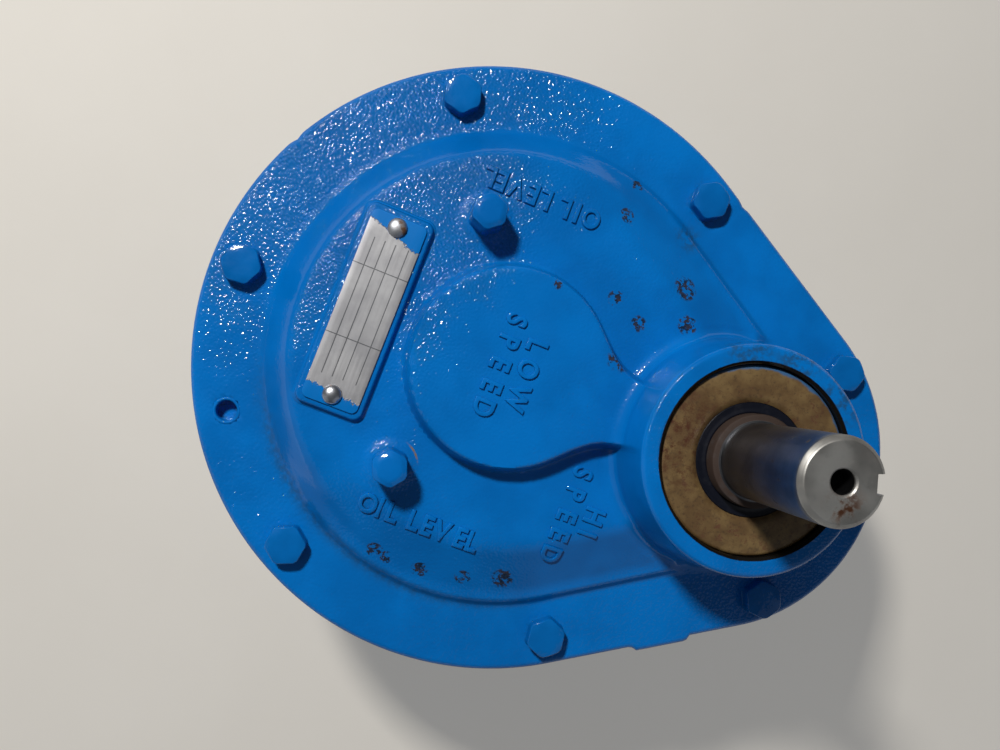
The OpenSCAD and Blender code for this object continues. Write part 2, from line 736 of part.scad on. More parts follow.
module ls_gear() {
    hub_r = gear_seat_r + 12;
    inner_rim_r = gear_pitch_r - 1.25*mn - 7;
    web_t = face_width*0.44;
    recess = (face_width - web_t)/2;
    color("gray") difference() {
        translate([0, 0, gear_z]) toothed(gear_teeth, gear_pitch_r, face_width, 1, 0, gear_slices, gear_steps);
        post(gear_seat_r + seat_gap, gear_z - 1, face_width + 2);
        tube(inner_rim_r, hub_r, gear_z - 1, recess + 1);
        tube(inner_rim_r, hub_r, gear_top - recess, recess + 1);
        rotate(180) translate([0, -gear_key_w/2, gear_z - 1])
            cube([gear_seat_r - gear_key_sink + gear_key_w + key_top_gap, gear_key_w, face_width + 2]);
    }
}

module ls_gear_key() {
    color("darkgray") translate([0, 0, gear_z + (face_width - gear_key_len)/2]) rotate(180)
        translate([gear_seat_r - gear_key_sink, -gear_key_w/2, 0])
            cube([gear_key_w, gear_key_w, gear_key_len]);
}

module ls_gear_spacer() {
    color("darkgray") tube(ls_front_size[0]/2 + 6, ls_front_size[0]/2, gear_top, ls_front_z - gear_top);
}

module ls_front() {
    translate([0, 0, ls_front_z]) children();
}

module ls_rear() {
    translate([0, 0, ls_rear_z]) children();
}

module ls_front_outer_race() { color("lightgray") ls_front() outer_race(ls_front_size); }
module ls_front_inner_race() { color("lightgray") ls_front() inner_race(ls_front_size); }
module ls_front_balls() { color("white") ls_front() balls(ls_front_size); }
module ls_front_cage() { color("goldenrod") ls_front() cage(ls_front_size); }
module ls_rear_outer_race() { color("lightgray") ls_rear() outer_race(ls_rear_size); }
module ls_rear_inner_race() { color("lightgray") ls_rear() inner_race(ls_rear_size); }
module ls_rear_balls() { color("white") ls_rear() balls(ls_rear_size); }
module ls_rear_cage() { color("goldenrod") ls_rear() cage(ls_rear_size); }

module ls_preload_washer() {
    color("darkslategray")
        tube(ls_front_size[1]/2 - 0.3, ls_front_size[1]/2 - 6, ls_front_z + ls_front_size[2], washer_t);
}

// The low-speed seal faces backwards
module at_ls_seal() {
    translate([0, 0, ls_rear_z]) mirror([0, 0, 1]) children();
}

module ls_seal_case() { color("silver") at_ls_seal() seal_case(ls_seal_d/2, ls_rear_size[0]/2); }
module ls_seal_lip() { color("black") at_ls_seal() seal_lip(ls_rear_size[0]/2); }
module ls_seal_spring() { color("silver") at_ls_seal() seal_spring(ls_rear_size[0]/2); }

gear_case();
case_cover();
cover_gasket();
cover_bolts();
cover_dowels();
oil_level_plugs();
drain_plug();
breather_body();
breather_cap();
name_plate();
name_plate_screws();
hs_pinion_shaft();
hs_front_outer_race();
hs_front_inner_race();
hs_front_balls();
hs_front_cage();
hs_rear_outer_race();
hs_rear_inner_race();
hs_rear_balls();
hs_rear_cage();
hs_housing_snap_ring();
hs_shaft_snap_ring();
hs_seal_case();
hs_seal_lip();
hs_seal_spring();
ls_shaft();
ls_gear();
ls_gear_key();
ls_gear_spacer();
ls_front_outer_race();
ls_front_inner_race();
ls_front_balls();
ls_front_cage();
ls_rear_outer_race();
ls_rear_inner_race();
ls_rear_balls();
ls_rear_cage();
ls_preload_washer();
ls_seal_case();
ls_seal_lip();
ls_seal_spring();
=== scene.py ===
import json
import bmesh
import bpy
import numpy as np
from mathutils import Matrix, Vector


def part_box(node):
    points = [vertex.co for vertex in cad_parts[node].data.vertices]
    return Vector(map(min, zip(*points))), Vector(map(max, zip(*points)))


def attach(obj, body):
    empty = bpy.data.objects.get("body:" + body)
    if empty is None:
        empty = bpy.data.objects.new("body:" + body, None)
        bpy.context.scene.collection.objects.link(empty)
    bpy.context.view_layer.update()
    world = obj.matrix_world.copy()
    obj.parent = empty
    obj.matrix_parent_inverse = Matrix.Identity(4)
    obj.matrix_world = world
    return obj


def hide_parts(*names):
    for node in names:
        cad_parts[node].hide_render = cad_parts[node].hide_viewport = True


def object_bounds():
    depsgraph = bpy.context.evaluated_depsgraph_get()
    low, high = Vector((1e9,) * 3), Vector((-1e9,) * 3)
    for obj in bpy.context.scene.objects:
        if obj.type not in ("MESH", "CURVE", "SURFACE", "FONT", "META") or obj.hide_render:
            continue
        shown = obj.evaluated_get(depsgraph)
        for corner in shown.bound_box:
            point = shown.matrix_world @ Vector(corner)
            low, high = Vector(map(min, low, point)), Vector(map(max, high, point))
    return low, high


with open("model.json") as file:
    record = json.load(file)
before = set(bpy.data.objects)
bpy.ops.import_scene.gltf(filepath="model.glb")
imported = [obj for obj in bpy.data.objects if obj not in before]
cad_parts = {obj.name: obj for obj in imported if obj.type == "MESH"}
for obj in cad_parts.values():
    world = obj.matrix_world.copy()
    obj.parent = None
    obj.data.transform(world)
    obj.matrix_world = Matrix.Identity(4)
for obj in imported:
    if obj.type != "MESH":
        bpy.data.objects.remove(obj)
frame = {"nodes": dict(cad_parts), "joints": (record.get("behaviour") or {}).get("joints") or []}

cadLow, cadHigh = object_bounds()      # the CAD model's box, before any new piece
mm = 0.001
nodes = frame["nodes"]

# Places read from the frame, in mm
def boxOf(node):
    low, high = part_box(node)
    return np.array(low)/mm, np.array(high)/mm

joints = {j["name"]: j for j in frame["joints"]}
hsX = joints["hs_spin"]["pos_m"][0]/mm              # the high-speed axis lies at (hsX, 0)
coverLow, coverHigh = boxOf("case_cover")
boltLow, boltHigh = boxOf("cover_bolts")
plugLow, plugHigh = boxOf("oil_level_plugs")
plateLow, plateHigh = boxOf("name_plate")
shaftLow, shaftHigh = boxOf("hs_pinion_shaft")
sealFace = boxOf("hs_seal_case")[1][2]
headHeight = 6.0                            # cover bolt heads
rimZ = boltHigh[2] - headHeight             # the cover's flat rim
splitZ = coverLow[2]                        # back of the cover
bossZ = coverHigh[2]                        # top of the high-speed boss
plateX = (plateLow[0] + plateHigh[0])/2
plugX = (plugLow[0] + plugHigh[0])/2
plugSpots = [(plugX, 51), (plugX, -51)]
boltCircle = 109.67                         # the bolts' and the jack-screw hole's circle
print("frame read: rim at", round(rimZ, 2), "boss top at", round(bossZ, 2))


# Meshes from grids

def linked(name, data):
    piece = bpy.data.objects.new(name, data)
    bpy.context.scene.collection.objects.link(piece)
    return piece


# A mesh's points in mm
def pointsOf(mesh):
    points = np.empty(len(mesh.vertices)*3)
    mesh.vertices.foreach_get("co", points)
    return points.reshape(-1, 3)/mm


crease = 0.75      # edges sharper than this angle in radians stay sharp


# Quads between neighbouring points of a (rows, columns, 3) grid in mm. A closed row or
# column direction joins its last point to its first. Caps close the first and last rows
# with a fan to each row's middle point.
def gridMesh(name, points, closeColumns=True, closeRows=False, capped=False, smooth=True):
    rows, columns = points.shape[:2]
    index = np.arange(rows*columns).reshape(rows, columns)
    a = index if closeRows else index[:-1]
    b = np.roll(index, -1, 0) if closeRows else index[1:]
    if closeColumns:
        quads = np.stack([a, np.roll(a, -1, 1), np.roll(b, -1, 1), b], -1)
    else:
        quads = np.stack([a[:, :-1], a[:, 1:], b[:, 1:], b[:, :-1]], -1)
    quads = quads.reshape(-1, 4)
    vertices = points.reshape(-1, 3)
    loops = [quads.reshape(-1)]
    sizes = [np.full(len(quads), 4)]
    for ring in (index[0, ::-1], index[-1]) if capped else ():
        middle = len(vertices)
        vertices = np.vstack([vertices, vertices[ring].mean(0)])
        fan = np.stack([ring, np.roll(ring, -1), np.full(len(ring), middle)], -1)
        loops.append(fan.reshape(-1))
        sizes.append(np.full(len(fan), 3))
    loops = np.concatenate(loops)
    sizes = np.concatenate(sizes)
    starts = np.concatenate([[0], np.cumsum(sizes)[:-1]])
    mesh = bpy.data.meshes.new(name)
    mesh.vertices.add(len(vertices))
    mesh.vertices.foreach_set("co", (vertices*mm).astype(np.float32).ravel())
    mesh.loops.add(len(loops))
    mesh.loops.foreach_set("vertex_index", loops.astype(np.int32))
    mesh.polygons.add(len(sizes))
    mesh.polygons.foreach_set("loop_start", starts.astype(np.int32))
    mesh.polygons.foreach_set("use_smooth", np.full(len(sizes), smooth))
    mesh.update(calc_edges=True)
    mesh.validate()
    if smooth:
        mesh.set_sharp_from_angle(angle=crease)
    return linked(name, mesh)


def finishPiece(piece, material, standsFor=(), body="housing"):
    piece.data.materials.clear()
    piece.data.materials.append(material)
    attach(piece, body)
    if standsFor:
        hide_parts(*standsFor)
    return piece


def unit(angle):
    return np.stack([np.cos(angle), np.sin(angle)], -1)


# Points (x, y) with a height, or with one height each
def level(points, z):
    return np.column_stack([points, np.broadcast_to(z, len(points))])


# A smooth 0 to 1 step: 0 below -width/2, 1 above width/2
def step(value, width):
    u = np.clip(value/width + 0.5, 0, 1)
    return u*u*(3 - 2*u)


# Outlines

# Signed distance, negative inside, to a pear: a circle of radius big round the origin and
# one of radius small round the high-speed axis, joined by their tangents
def pearDistance(x, y, big, small):
    b = (big - small)/hsX
    a = np.sqrt(1 - b*b)
    across = np.abs(y)
    along = a*x - b*across
    side = a*across + b*x - big
    return np.where(along < 0, np.hypot(x, y) - big,
                    np.where(along > a*hsX, np.hypot(x - hsX, y) - small, side))


# Points and outward normals at even steps of length along the pear outline, from the
# +X end round through +Y
def pearOutline(big, small, count):
    a = np.arccos((big - small)/hsX)
    arcSmall, arcBig = a*small, (np.pi - a)*big
    straight = np.sqrt(hsX**2 - (big - small)**2)
    half = arcSmall + straight + arcBig
    f = np.arange(count)/count
    upper = f <= 0.5
    s = np.where(upper, f, 1 - f)*2*half
    onSmall, onBig = s < arcSmall, s > arcSmall + straight
    angle = np.where(onSmall, s/small, np.where(onBig, a + (s - arcSmall - straight)/big, a))
    k = np.clip((s - arcSmall)/straight, 0, 1)
    centreX = np.where(onSmall, hsX, np.where(onBig, 0, hsX*(1 - k)))
    radius = np.where(onSmall, small, np.where(onBig, big, small + (big - small)*k))
    sign = np.where(upper, 1, -1)
    normal = np.stack([np.cos(angle), sign*np.sin(angle)], -1)
    points = np.stack([centreX, 0*s], -1) + radius[:, None]*normal
    return points, normal


# Soft lumps of a sand casting: a sum of sine waves in seeded directions
lumpRandom = np.random.default_rng(7)
lumpWaves = [(lumpRandom.uniform(0, 2*np.pi), lumpRandom.uniform(0, 2*np.pi),
              2*np.pi/lumpRandom.uniform(9, 30)) for _ in range(14)]

def castLumps(x, y):
    total = 0
    for direction, phase, k in lumpWaves:
        total = total + np.sin(k*(x*np.cos(direction) + y*np.sin(direction)) + phase)
    return total/len(lumpWaves)


# The cover casting

cover = {
    "columns": 500,
    "edgeRound": 2.2,  # rounding of the rim's front edge
    "domeInset": 26.5,  # rim width round the wheel
    "domeInsetSmall": 28.0,  # rim width round the pinion
    "domeHeight": 14.0,
    "domeRamp": 15.5,  # how wide the dome's side is in plan on its steep side
    "domeRound": 0.24,  # share of the side that each of its two roundings takes
    "steepMiddle": 160,  # the steep side lies round this angle
    "steepReach": 75,
    "domeOut": 1.5,  # how far the side's foot lies outside the dome's outline
    "footRamp": 5.0,  # elsewhere a short steep foot takes footShare of the height
    "footShare": 0.24,
    "footRound": 0.4,
    "crownStart": 3.0,  # and a long crown the rest
    "crownRamp": 27.0,
    "lowBossRadius": 39.4,
    "lowBossHeight": 9.0,
    "lowBossRamp": 3.2,
    "webHalf": 13.6,
    "webBlend": 16.0,  # size of the fillets where the web meets the boss
    "padRadius": 9.2,  # pads under the level plugs
    "padRamp": 3.0,
    "padHeight": 1.0,
    "kinks": ((153.4, 0.5), (54.9, 0.25)),  # angle and depth of the parting creases
    "kinkWidth": 1.3,
    "coveRadius": 52.0,  # where the high-speed boss's foot begins
    "coveHeight": 5.5,
    "bossRadius": 43.6,
    "bossFoot": 46.4,
    "boreRadius": 36.0,
    "lumps": 0.16,
    "tabStart": 37.4,  # the tab, along the straight side from the wheel end
    "tabLength": 21.0,
    "tabHeight": 2.0,
    "faceRows": 104,
    "wallRows": 16,
    "chamberInset": 9.5,
    "ceilingZ": 72.8,
    "ceilingWall": 6.0,  # least thickness between the ceiling and the dome's side
    "bearingSeatZ": 74.8,
    "seatLip": 4.5,
    "lowPocket": (31.0, 83.3),  # radius and height of the low-speed bearing's pocket,
    "lowCollar": (39.2, 65.8),  # and of the collar round it
    "jackPit": 4.9,
    "jackDepth": 7.0,
    "dirtShadeMiddle": -113,  # dirt and painted shade lie along the dome's foot round this angle
    "dirtShadeReach": 42,
    "dirtShadeWidth": 2.8,
}
jackAngle = np.radians(210)
jack = boltCircle*np.array([np.cos(jackAngle), np.sin(jackAngle)])    # the jack-screw hole
rimBig = -coverLow[0]
rimSmall = coverHigh[0] - hsX
domeBig = rimBig - cover["domeInset"]
domeSmall = rimSmall - cover["domeInsetSmall"]
domeZ = rimZ + cover["domeHeight"]


# Distance to the low-speed boss joined by a web to the high-speed boss. The join is the
# smooth minimum of a circle's and a bar's distances, which gives the S-shaped fillets.
def bossWebDistance(x, y):
    circle = np.hypot(x, y) - cover["lowBossRadius"]
    bar = np.maximum(np.maximum(np.abs(y) - cover["webHalf"], -x), x - hsX)
    k = cover["webBlend"]
    h = np.clip(0.5 + 0.5*(bar - circle)/k, 0, 1)
    return bar*(1 - h) + circle*h - k*h*(1 - h)


# A slope from 0 to 1 whose ends are parabolas, each taking the share r: u*u/(2r(1-r)) below
# r, a straight line in the middle, and the same turned round above 1-r
def easedRamp(u, r):
    u = np.clip(u, 0, 1)
    low, high = u*u/(2*r*(1 - r)), 1 - (1 - u)**2/(2*r*(1 - r))
    return np.where(u < r, low, np.where(u > 1 - r, high, (u - r/2)/(1 - r)))


# Distance to the pit that the jack-screw hole's sleeve sits in
def jackDistance(x, y):
    return np.hypot(x - jack[0], y - jack[1]) - cover["jackPit"]


# How far an angle in degrees is from the angle of (x, y), at most 180
def turnedFrom(x, y, middle):
    return np.abs((np.degrees(np.arctan2(y, x)) - middle + 180) % 360 - 180)


# Height of the cover's face: rim + dome + low boss + the plugs' pads + the casting's lumps,
# minus two parting creases. The dome's side is one ramp where it is steep and the sum of a
# foot and a crown elsewhere.
def coverHeight(x, y):
    inside = cover["domeOut"] - pearDistance(x, y, domeBig, domeSmall)
    steep = easedRamp(inside/cover["domeRamp"], cover["domeRound"])
    foot = easedRamp(inside/cover["footRamp"], cover["footRound"])
    crown = easedRamp((inside - cover["crownStart"])/cover["crownRamp"], cover["domeRound"])
    soft = cover["footShare"]*foot + (1 - cover["footShare"])*crown
    away = step(turnedFrom(x, y, cover["steepMiddle"]) - cover["steepReach"], 50)
    dome = steep*(1 - away) + soft*away
    low = step(-bossWebDistance(x, y), cover["lowBossRamp"])
    z = rimZ + cover["domeHeight"]*dome + cover["lowBossHeight"]*low
    for px, py in plugSpots:
        pad = step(cover["padRadius"] - np.hypot(x - px, y - py), cover["padRamp"])
        z = z + cover["padHeight"]*pad
    reach = np.hypot(x, y)
    for place, depth in cover["kinks"]:
        off = np.arctan2(y, x) - np.radians(place)
        crease = np.exp(-(reach*np.sin(off)/cover["kinkWidth"])**2)
        z = z - depth*crease*step(reach - 103, 8)*(np.cos(off) > 0)
    return z + cover["lumps"]*castLumps(x, y)


# Draws grid points together where a wall's distance d passes zero, so that a steep wall gets
# several rows: d becomes d - amount * sin(pi d / reach)
def gatherOnWall(x, y, distance, reach, strength):
    d = distance(x, y)
    e = 0.05
    gx = (distance(x + e, y) - distance(x - e, y))/(2*e)
    gy = (distance(x, y + e) - distance(x, y - e))/(2*e)
    shift = -strength*reach/np.pi*np.sin(np.pi*np.clip(d/reach, -1, 1))
    calm = step(np.hypot(x - hsX, y) - cover["coveRadius"] - 6, 10)
    return x + gx*shift*calm, y + gy*shift*calm


# The cover as one closed grid: rows go up the rim's side, across the face to the high-speed
# boss, up it, down the bore, and back under the ceiling and down the chamber wall
def makeCover():
    n = cover["columns"]
    edge, normal = pearOutline(rimBig, rimSmall, n)
    # the tab and the two parting kinks move the outline
    a = np.arccos((rimBig - rimSmall)/hsX)
    ex, ey = edge.T
    along = (ex - rimBig*np.cos(a))*np.sin(a) + (ey + rimBig*np.sin(a))*np.cos(a)
    onStraight = (ey < 0) & (np.abs(ex*np.cos(a) - ey*np.sin(a) - rimBig) < 0.01)
    middle = cover["tabStart"] + cover["tabLength"]/2
    tab = step(cover["tabLength"]/2 + 1.2 - np.abs(along - middle), 2.4)*onStraight
    angle = np.degrees(np.arctan2(ey, ex))
    kink = sum(np.exp(-((angle - place)/0.9)**2) for place, depth in cover["kinks"])
    offset = cover["tabHeight"]*tab - 0.7*kink

    def ring(inset, z):
        return level(edge + normal*(offset - inset)[:, None], z)

    r = cover["edgeRound"]
    rows = [ring(0.6, splitZ), ring(0, splitZ + 0.6)]
    rows += [ring(0, z) for z in np.linspace(splitZ + 3, rimZ - r, 4)]
    # face: straight lines from the edge to the cove circle
    innerAngle = np.arctan2(ey, ex - hsX) % (2*np.pi)
    even = 2*np.pi*np.arange(n)/n
    theta = 0.45*innerAngle + 0.55*even
    spoke = unit(theta)

    def hoop(radius, z):
        return level(np.array([hsX, 0]) + radius*spoke, z)

    cove = hoop(cover["coveRadius"], 0)[:, :2]
    start = ring(r, 0)[:, :2]
    base = coverHeight(*start.T)
    rows += [ring(r*(1 - np.cos(lean)), rimZ - r + (base - rimZ + r)*np.sin(lean))
             for lean in np.radians([22, 45, 68])]
    t = np.linspace(0, 1, cover["faceRows"])[:, None, None]
    face = start*(1 - t) + cove*t
    x, y = gatherOnWall(face[..., 0], face[..., 1], bossWebDistance, 8.0, 0.72)
    x, y = gatherOnWall(x, y, jackDistance, 7.0, 0.85)
    z = coverHeight(x, y) - cover["jackDepth"]*step(-jackDistance(x, y), 0.4)
    rows += list(np.stack([x, y, z], -1))
    # the boss's foot, a quarter-round cove, then its drafted wall
    foot = coverHeight(*cove.T)
    top = bossZ - 2.0
    begin, ankle = cover["coveRadius"], cover["bossFoot"]
    out, bore = cover["bossRadius"], cover["boreRadius"]
    rise = cover["coveHeight"]
    rows += [hoop(begin - (begin - ankle)*np.sin(turn), foot + rise*(1 - np.cos(turn)))
             for turn in np.linspace(0, np.pi/2, 11)[1:]]
    foot = foot + rise
    rows += [hoop(ankle + (out - ankle)*u, foot + (top - foot)*u)
             for u in np.linspace(0, 1, cover["wallRows"])[1:]]
    wobble = 0.10*np.sin(3*theta + 1) + 0.07*np.sin(7*theta)
    rows += [hoop(out - 2 + 2*np.cos(lean), top + (2 + wobble)*np.sin(lean))
             for lean in np.radians([20, 45, 70, 90])]
    rows += [hoop(radius, bossZ + wobble) for radius in (out - 3.6, bore + 2.2)]
    rows += [hoop(bore + c, bossZ - (1.1 - c) + wobble*c) for c in (1.1, 0.55, 0.0)]
    seat, lip = cover["bearingSeatZ"], bore - cover["seatLip"]
    rows += [hoop(bore, z) for z in (bossZ - 3, bossZ - 14, seat)]
    rows += [hoop(lip, z) for z in (seat, cover["ceilingZ"])]
    # under the ceiling and out to the chamber wall, round the front low-speed bearing
    wall = edge - normal*(cover["domeInset"] + cover["chamberInset"])
    t = np.linspace(0, 1, 26)[1:, None, None]
    x, y = np.moveaxis(hoop(lip, 0)[:, :2]*(1 - t) + wall*t, -1, 0)
    (pocketRadius, pocketZ), (collarRadius, collarZ) = cover["lowPocket"], cover["lowCollar"]
    for radius in (pocketRadius, collarRadius - 0.6):
        x, y = gatherOnWall(x, y, lambda px, py: np.hypot(px, py) - radius, 6.0, 0.8)
    reach = np.hypot(x, y)
    collar = step(collarRadius - reach, 1.2)*(cover["ceilingZ"] - collarZ)
    pocket = step(pocketRadius - reach, 1.0)*(pocketZ - collarZ)
    ceiling = np.minimum(cover["ceilingZ"], coverHeight(x, y) - cover["ceilingWall"])
    rows += list(np.stack([x, y, ceiling - collar + pocket], -1))
    rows.append(level(wall, splitZ))
    piece = gridMesh("cover_casting", np.stack(rows), closeRows=True)
    markFoot(piece)
    return piece


# How much dirt and painted shade lie at the dome's foot: a bell curve of the distance to the foot's
# line, times a smooth window of the angle round the low-speed axis
def markFoot(piece):
    x, y, z = pointsOf(piece.data).T
    off = pearDistance(x, y, domeBig, domeSmall) + 0.3
    near = step(cover["dirtShadeReach"] - turnedFrom(x, y, cover["dirtShadeMiddle"]), 40)
    dirtShade = np.exp(-(off/cover["dirtShadeWidth"])**2)*near*(z > rimZ - 1)
    values = piece.data.attributes.new("footDirtAndShade", "FLOAT", "POINT").data
    values.foreach_set("value", dirtShade.astype(np.float32))


# Materials

# The tree that the functions below add nodes to
current = {}


def startTree(owner):
    owner.node_tree.nodes.clear()
    current["tree"] = owner.node_tree


# A fresh material and its shader, whose constant inputs are set by name
def makeMaterial(name, constants):
    material = bpy.data.materials.new(name)
    material.use_nodes = True
    startTree(material)
    shader = addNode("BsdfPrincipled", constants)
    addNode("OutputMaterial", {"Surface": shader.outputs[0]}, name="Material Output")
    return material, shader


def addNode(kind, inputs=None, **settings):
    node = current["tree"].nodes.new("ShaderNode" + kind)
    for key, value in settings.items():
        setattr(node, key, value)
    wire(node, inputs or {})
    return node


# Sets a node's inputs by name or number, each to a constant or to another node's output
def wire(node, inputs):
    for key, value in inputs.items():
        if isinstance(value, bpy.types.NodeSocket):
            current["tree"].links.new(value, node.inputs[key])
        else:
            node.inputs[key].default_value = value


def objectCoords(stretch=(1, 1, 1), shift=(0, 0, 0)):
    coords = addNode("TexCoord").outputs["Object"]
    return addNode("Mapping", {"Vector": coords, "Location": shift, "Scale": stretch}).outputs[0]


# One axis of the Object coordinates
def axisOf(axis):
    return addNode("SeparateXYZ", {0: objectCoords()}).outputs[axis]


def noise(scale, detail=4, rough=0.5, vector=None):
    return addNode("TexNoise", {"Vector": vector or objectCoords(), "Scale": scale,
                                "Detail": detail, "Roughness": rough}).outputs[0]


def ranged(value, low, high, toLow=0.0, toHigh=1.0):
    return addNode("MapRange", {0: value, 1: low, 2: high, 3: toLow, 4: toHigh},
                   interpolation_type="SMOOTHSTEP").outputs[0]


def math(operation, a, b=0.0):
    return addNode("Math", {0: a, 1: b}, operation=operation).outputs[0]


def times(a, b):
    return math("MULTIPLY", a, b)


def plus(a, b):
    return math("ADD", a, b)


def most(a, b):
    return math("MAXIMUM", a, b)


def apart(a, b):
    return math("ABSOLUTE", math("SUBTRACT", a, b))


def blend(factor, a, b):
    return addNode("Mix", {0: factor, 6: a, 7: b}, data_type="RGBA").outputs[2]


def bump(height, strength, distance, normal=None):
    inputs = {"Height": height, "Strength": strength, "Distance": distance}
    if normal:
        inputs["Normal"] = normal
    return addNode("Bump", inputs).outputs[0]


# How near a point is to one place: 1 inside the inner radius, 0 outside the outer one
def nearPlace(place, inner, outer):
    coords = addNode("TexCoord").outputs["Object"]
    away = addNode("VectorMath", {0: coords, 1: [v*mm for v in place]}, operation="DISTANCE")
    return ranged(away.outputs["Value"], outer*mm, inner*mm)


# How far a point is from an upright line through (x, y)
def awayFrom(x, y):
    local = objectCoords((1, 1, 0), (-x*mm, -y*mm, 0))
    return addNode("VectorMath", {0: local}, operation="LENGTH").outputs["Value"]


# Thick azure enamel over a sand casting: noise pebbles on level faces, thickest round one place on
# the flange, that show in the clear coat's sparkle more than in the colour, though round that place
# the colour is also darkened as painted shade of the pebbles. Hollows that ambient occlusion finds,
# and on the cover the dome's foot, are darkened in grime's colour, partly grime and partly painted
# shade; grime also gathers in patches, rust in specks.
# The lists hold (place, inner, outer) in mm.
enamelLook = {
    "constants": {"Coat Weight": 0.52, "Coat Roughness": 0.085, "Specular IOR Level": 0.04},
    "blue": (0.0, 0.146, 0.49, 1),
    "peelAndShadePlace": (-95, 75, rimZ),
    "peelScale": 980,
    "paintBump": 0.00055,
    "coatBump": 0.00095,
    "grimeAndShade": (0.016, 0.028, 0.014, 1),
    "grimeAndShadeShare": 0.62,
    "darkRust": (0.006, 0.006, 0.003, 1),
    "brownRust": (0.036, 0.020, 0.007, 1),
    "scraped": (0.18, 0.125, 0.065, 1),
    "boreBlack": (0.006, 0.005, 0.004, 1),
}


def enamel(name, peel=1.0, rust=0.5, tone=enamelLook["blue"], rustAt=(), grimeAt=(), arcs=(),
           onCover=False):
    look = enamelLook
    material, shader = makeMaterial(name, look["constants"])
    deep = (tone[0], tone[1]*0.80, tone[2]*0.82, 1)
    shaded = (tone[0], tone[1]*0.50, tone[2]*0.56, 1)
    colour = blend(ranged(noise(38, 3), 0.32, 0.68), deep, tone)
    peelAndShade = nearPlace(look["peelAndShadePlace"], 30, 150)
    # round that place the colour darkens towards shaded: painted shade of the pebbles
    colour = blend(times(peelAndShade, 0.5*min(peel, 1)), colour, shaded)
    # hollows that ambient occlusion finds are darkened in grime's colour: partly grime, partly
    # painted shade
    hollow = addNode("AmbientOcclusion", {"Distance": 0.005}, samples=6).outputs["AO"]
    fine = noise(420, 6, 0.65)
    grimeAndShade = times(ranged(hollow, 0.75, 0.30), ranged(fine, 0.42, 0.62))
    cloud = times(ranged(noise(210, 5, 0.6), 0.40, 0.58), ranged(fine, 0.30, 0.60))
    if onCover:
        # the band of dirt and painted shade at the dome's foot
        band = addNode("Attribute", attribute_name="footDirtAndShade").outputs["Fac"]
        band = times(band, ranged(fine, 0.30, 0.66, 0.1, 0.8))
        grimeAndShade = most(grimeAndShade, band)
    for spot in grimeAt:
        grimeAndShade = most(grimeAndShade, times(cloud, nearPlace(*spot)))
    # the grime and painted shade are mixed into the colour, scaled by rust
    colour = blend(times(grimeAndShade, look["grimeAndShadeShare"]*rust), colour, look["grimeAndShade"])
    blotch = ranged(noise(430, 6, 0.72), 0.47, 0.53)
    rusty = times(ranged(noise(620, 5, 0.7), 0.62, 0.68), ranged(noise(34, 2), 0.70, 0.80))
    for spot in rustAt:
        patch = times(blotch, nearPlace(*spot))
        rusty = most(rusty, ranged(patch, 0.20, 0.50))
    rustTone = blend(ranged(fine, 0.4, 0.6), look["darkRust"], look["brownRust"])
    colour = blend(times(rusty, rust), colour, rustTone)
    # bare arcs that a spanner scraped beside a plug: a thin ring, kept near one place
    for x, y, radius, place in arcs:
        line = ranged(apart(awayFrom(x, y), radius*mm), 0.0005, 0.0002)
        scraped = times(times(line, nearPlace(place, 1, 6)), ranged(fine, 0.44, 0.54))
        colour = blend(scraped, colour, look["scraped"])
    rough = ranged(noise(90, 4), 0.3, 0.7, 0.30, 0.42)
    rough = most(rough, times(most(grimeAndShade, rusty), 0.75))
    if onCover:
        ragged = plus(awayFrom(hsX, 0), ranged(fine, 0, 1, -0.00015, 0.00015))
        colour = blend(ranged(ragged, 0.0374, 0.0370), colour, look["boreBlack"])
    normal = addNode("TexCoord").outputs["Normal"]
    facing = addNode("SeparateXYZ", {0: normal}).outputs["Z"]
    amount = times(ranged(facing, 0.80, 0.97, 0.10, 1.0),
                   ranged(noise(22, 2), 0.35, 0.65, 0.45, 1.0))
    lower = ranged(axisOf("Z"), (rimZ + 3)*mm, (rimZ + 10)*mm, 1.0, 0.9)
    amount = times(amount, lower)
    amount = times(amount, ranged(peelAndShade, 0.0, 1.0, 0.42, 1.05))
    pebbles = times(noise(look["peelScale"], 0, 0.4), amount)
    wire(shader, {"Base Color": colour, "Roughness": rough,
                  "Normal": bump(pebbles, 0.55, look["paintBump"]*peel),
                  "Coat Normal": bump(pebbles, 1.0, look["coatBump"]*peel)})
    return material


# rust on the cover as x, y, inner and outer radius
rustSpots = [(-22, -85, 1, 5), (-17, -86, 1, 4), (-3, -86, 1, 5), (14, -83, 0.5, 5),
             (29, -78, 1, 7), (38, 18, 1, 8), (42, 35, 0.5, 5), (30, 41, 0.5, 5),
             (23, 74, 0.5, 5), (24, 89, 0.5, 4), (5, 36, 0.5, 3), (56, 56, 1, 8), (61, 42, 1, 6)]
grimeSpots = [((78, 38, 108), 4, 13), ((98, 40, 108), 4, 13), ((118, 32, 108), 4, 14),
              ((133, 10, 108), 2, 12), ((55, 95, 67), 3, 12), ((52, 78, 70), 2, 9)]
rustPlaces = [((x, y, float(coverHeight(x, y))), inner, outer) for x, y, inner, outer in rustSpots]
spannerArcs = [(*plugSpots[0], 9.2, (plugX + 6.5, 57, 80)),
               (*plugSpots[1], 10.5, (plugX + 7.5, -43, 80))]
coverPaint = enamel("cover_enamel", 1.0, 0.9, rustAt=rustPlaces, grimeAt=grimeSpots,
                    arcs=spannerArcs, onCover=True)
casePaint = enamel("case_enamel", 0.8, 0.8)
boltPaint = enamel("bolt_enamel", 0.16, 0.9, (0.0, 0.120, 0.40, 1))
plugPaint = enamel("plug_enamel", 0.14, 0.5, (0.0, 0.132, 0.45, 1))


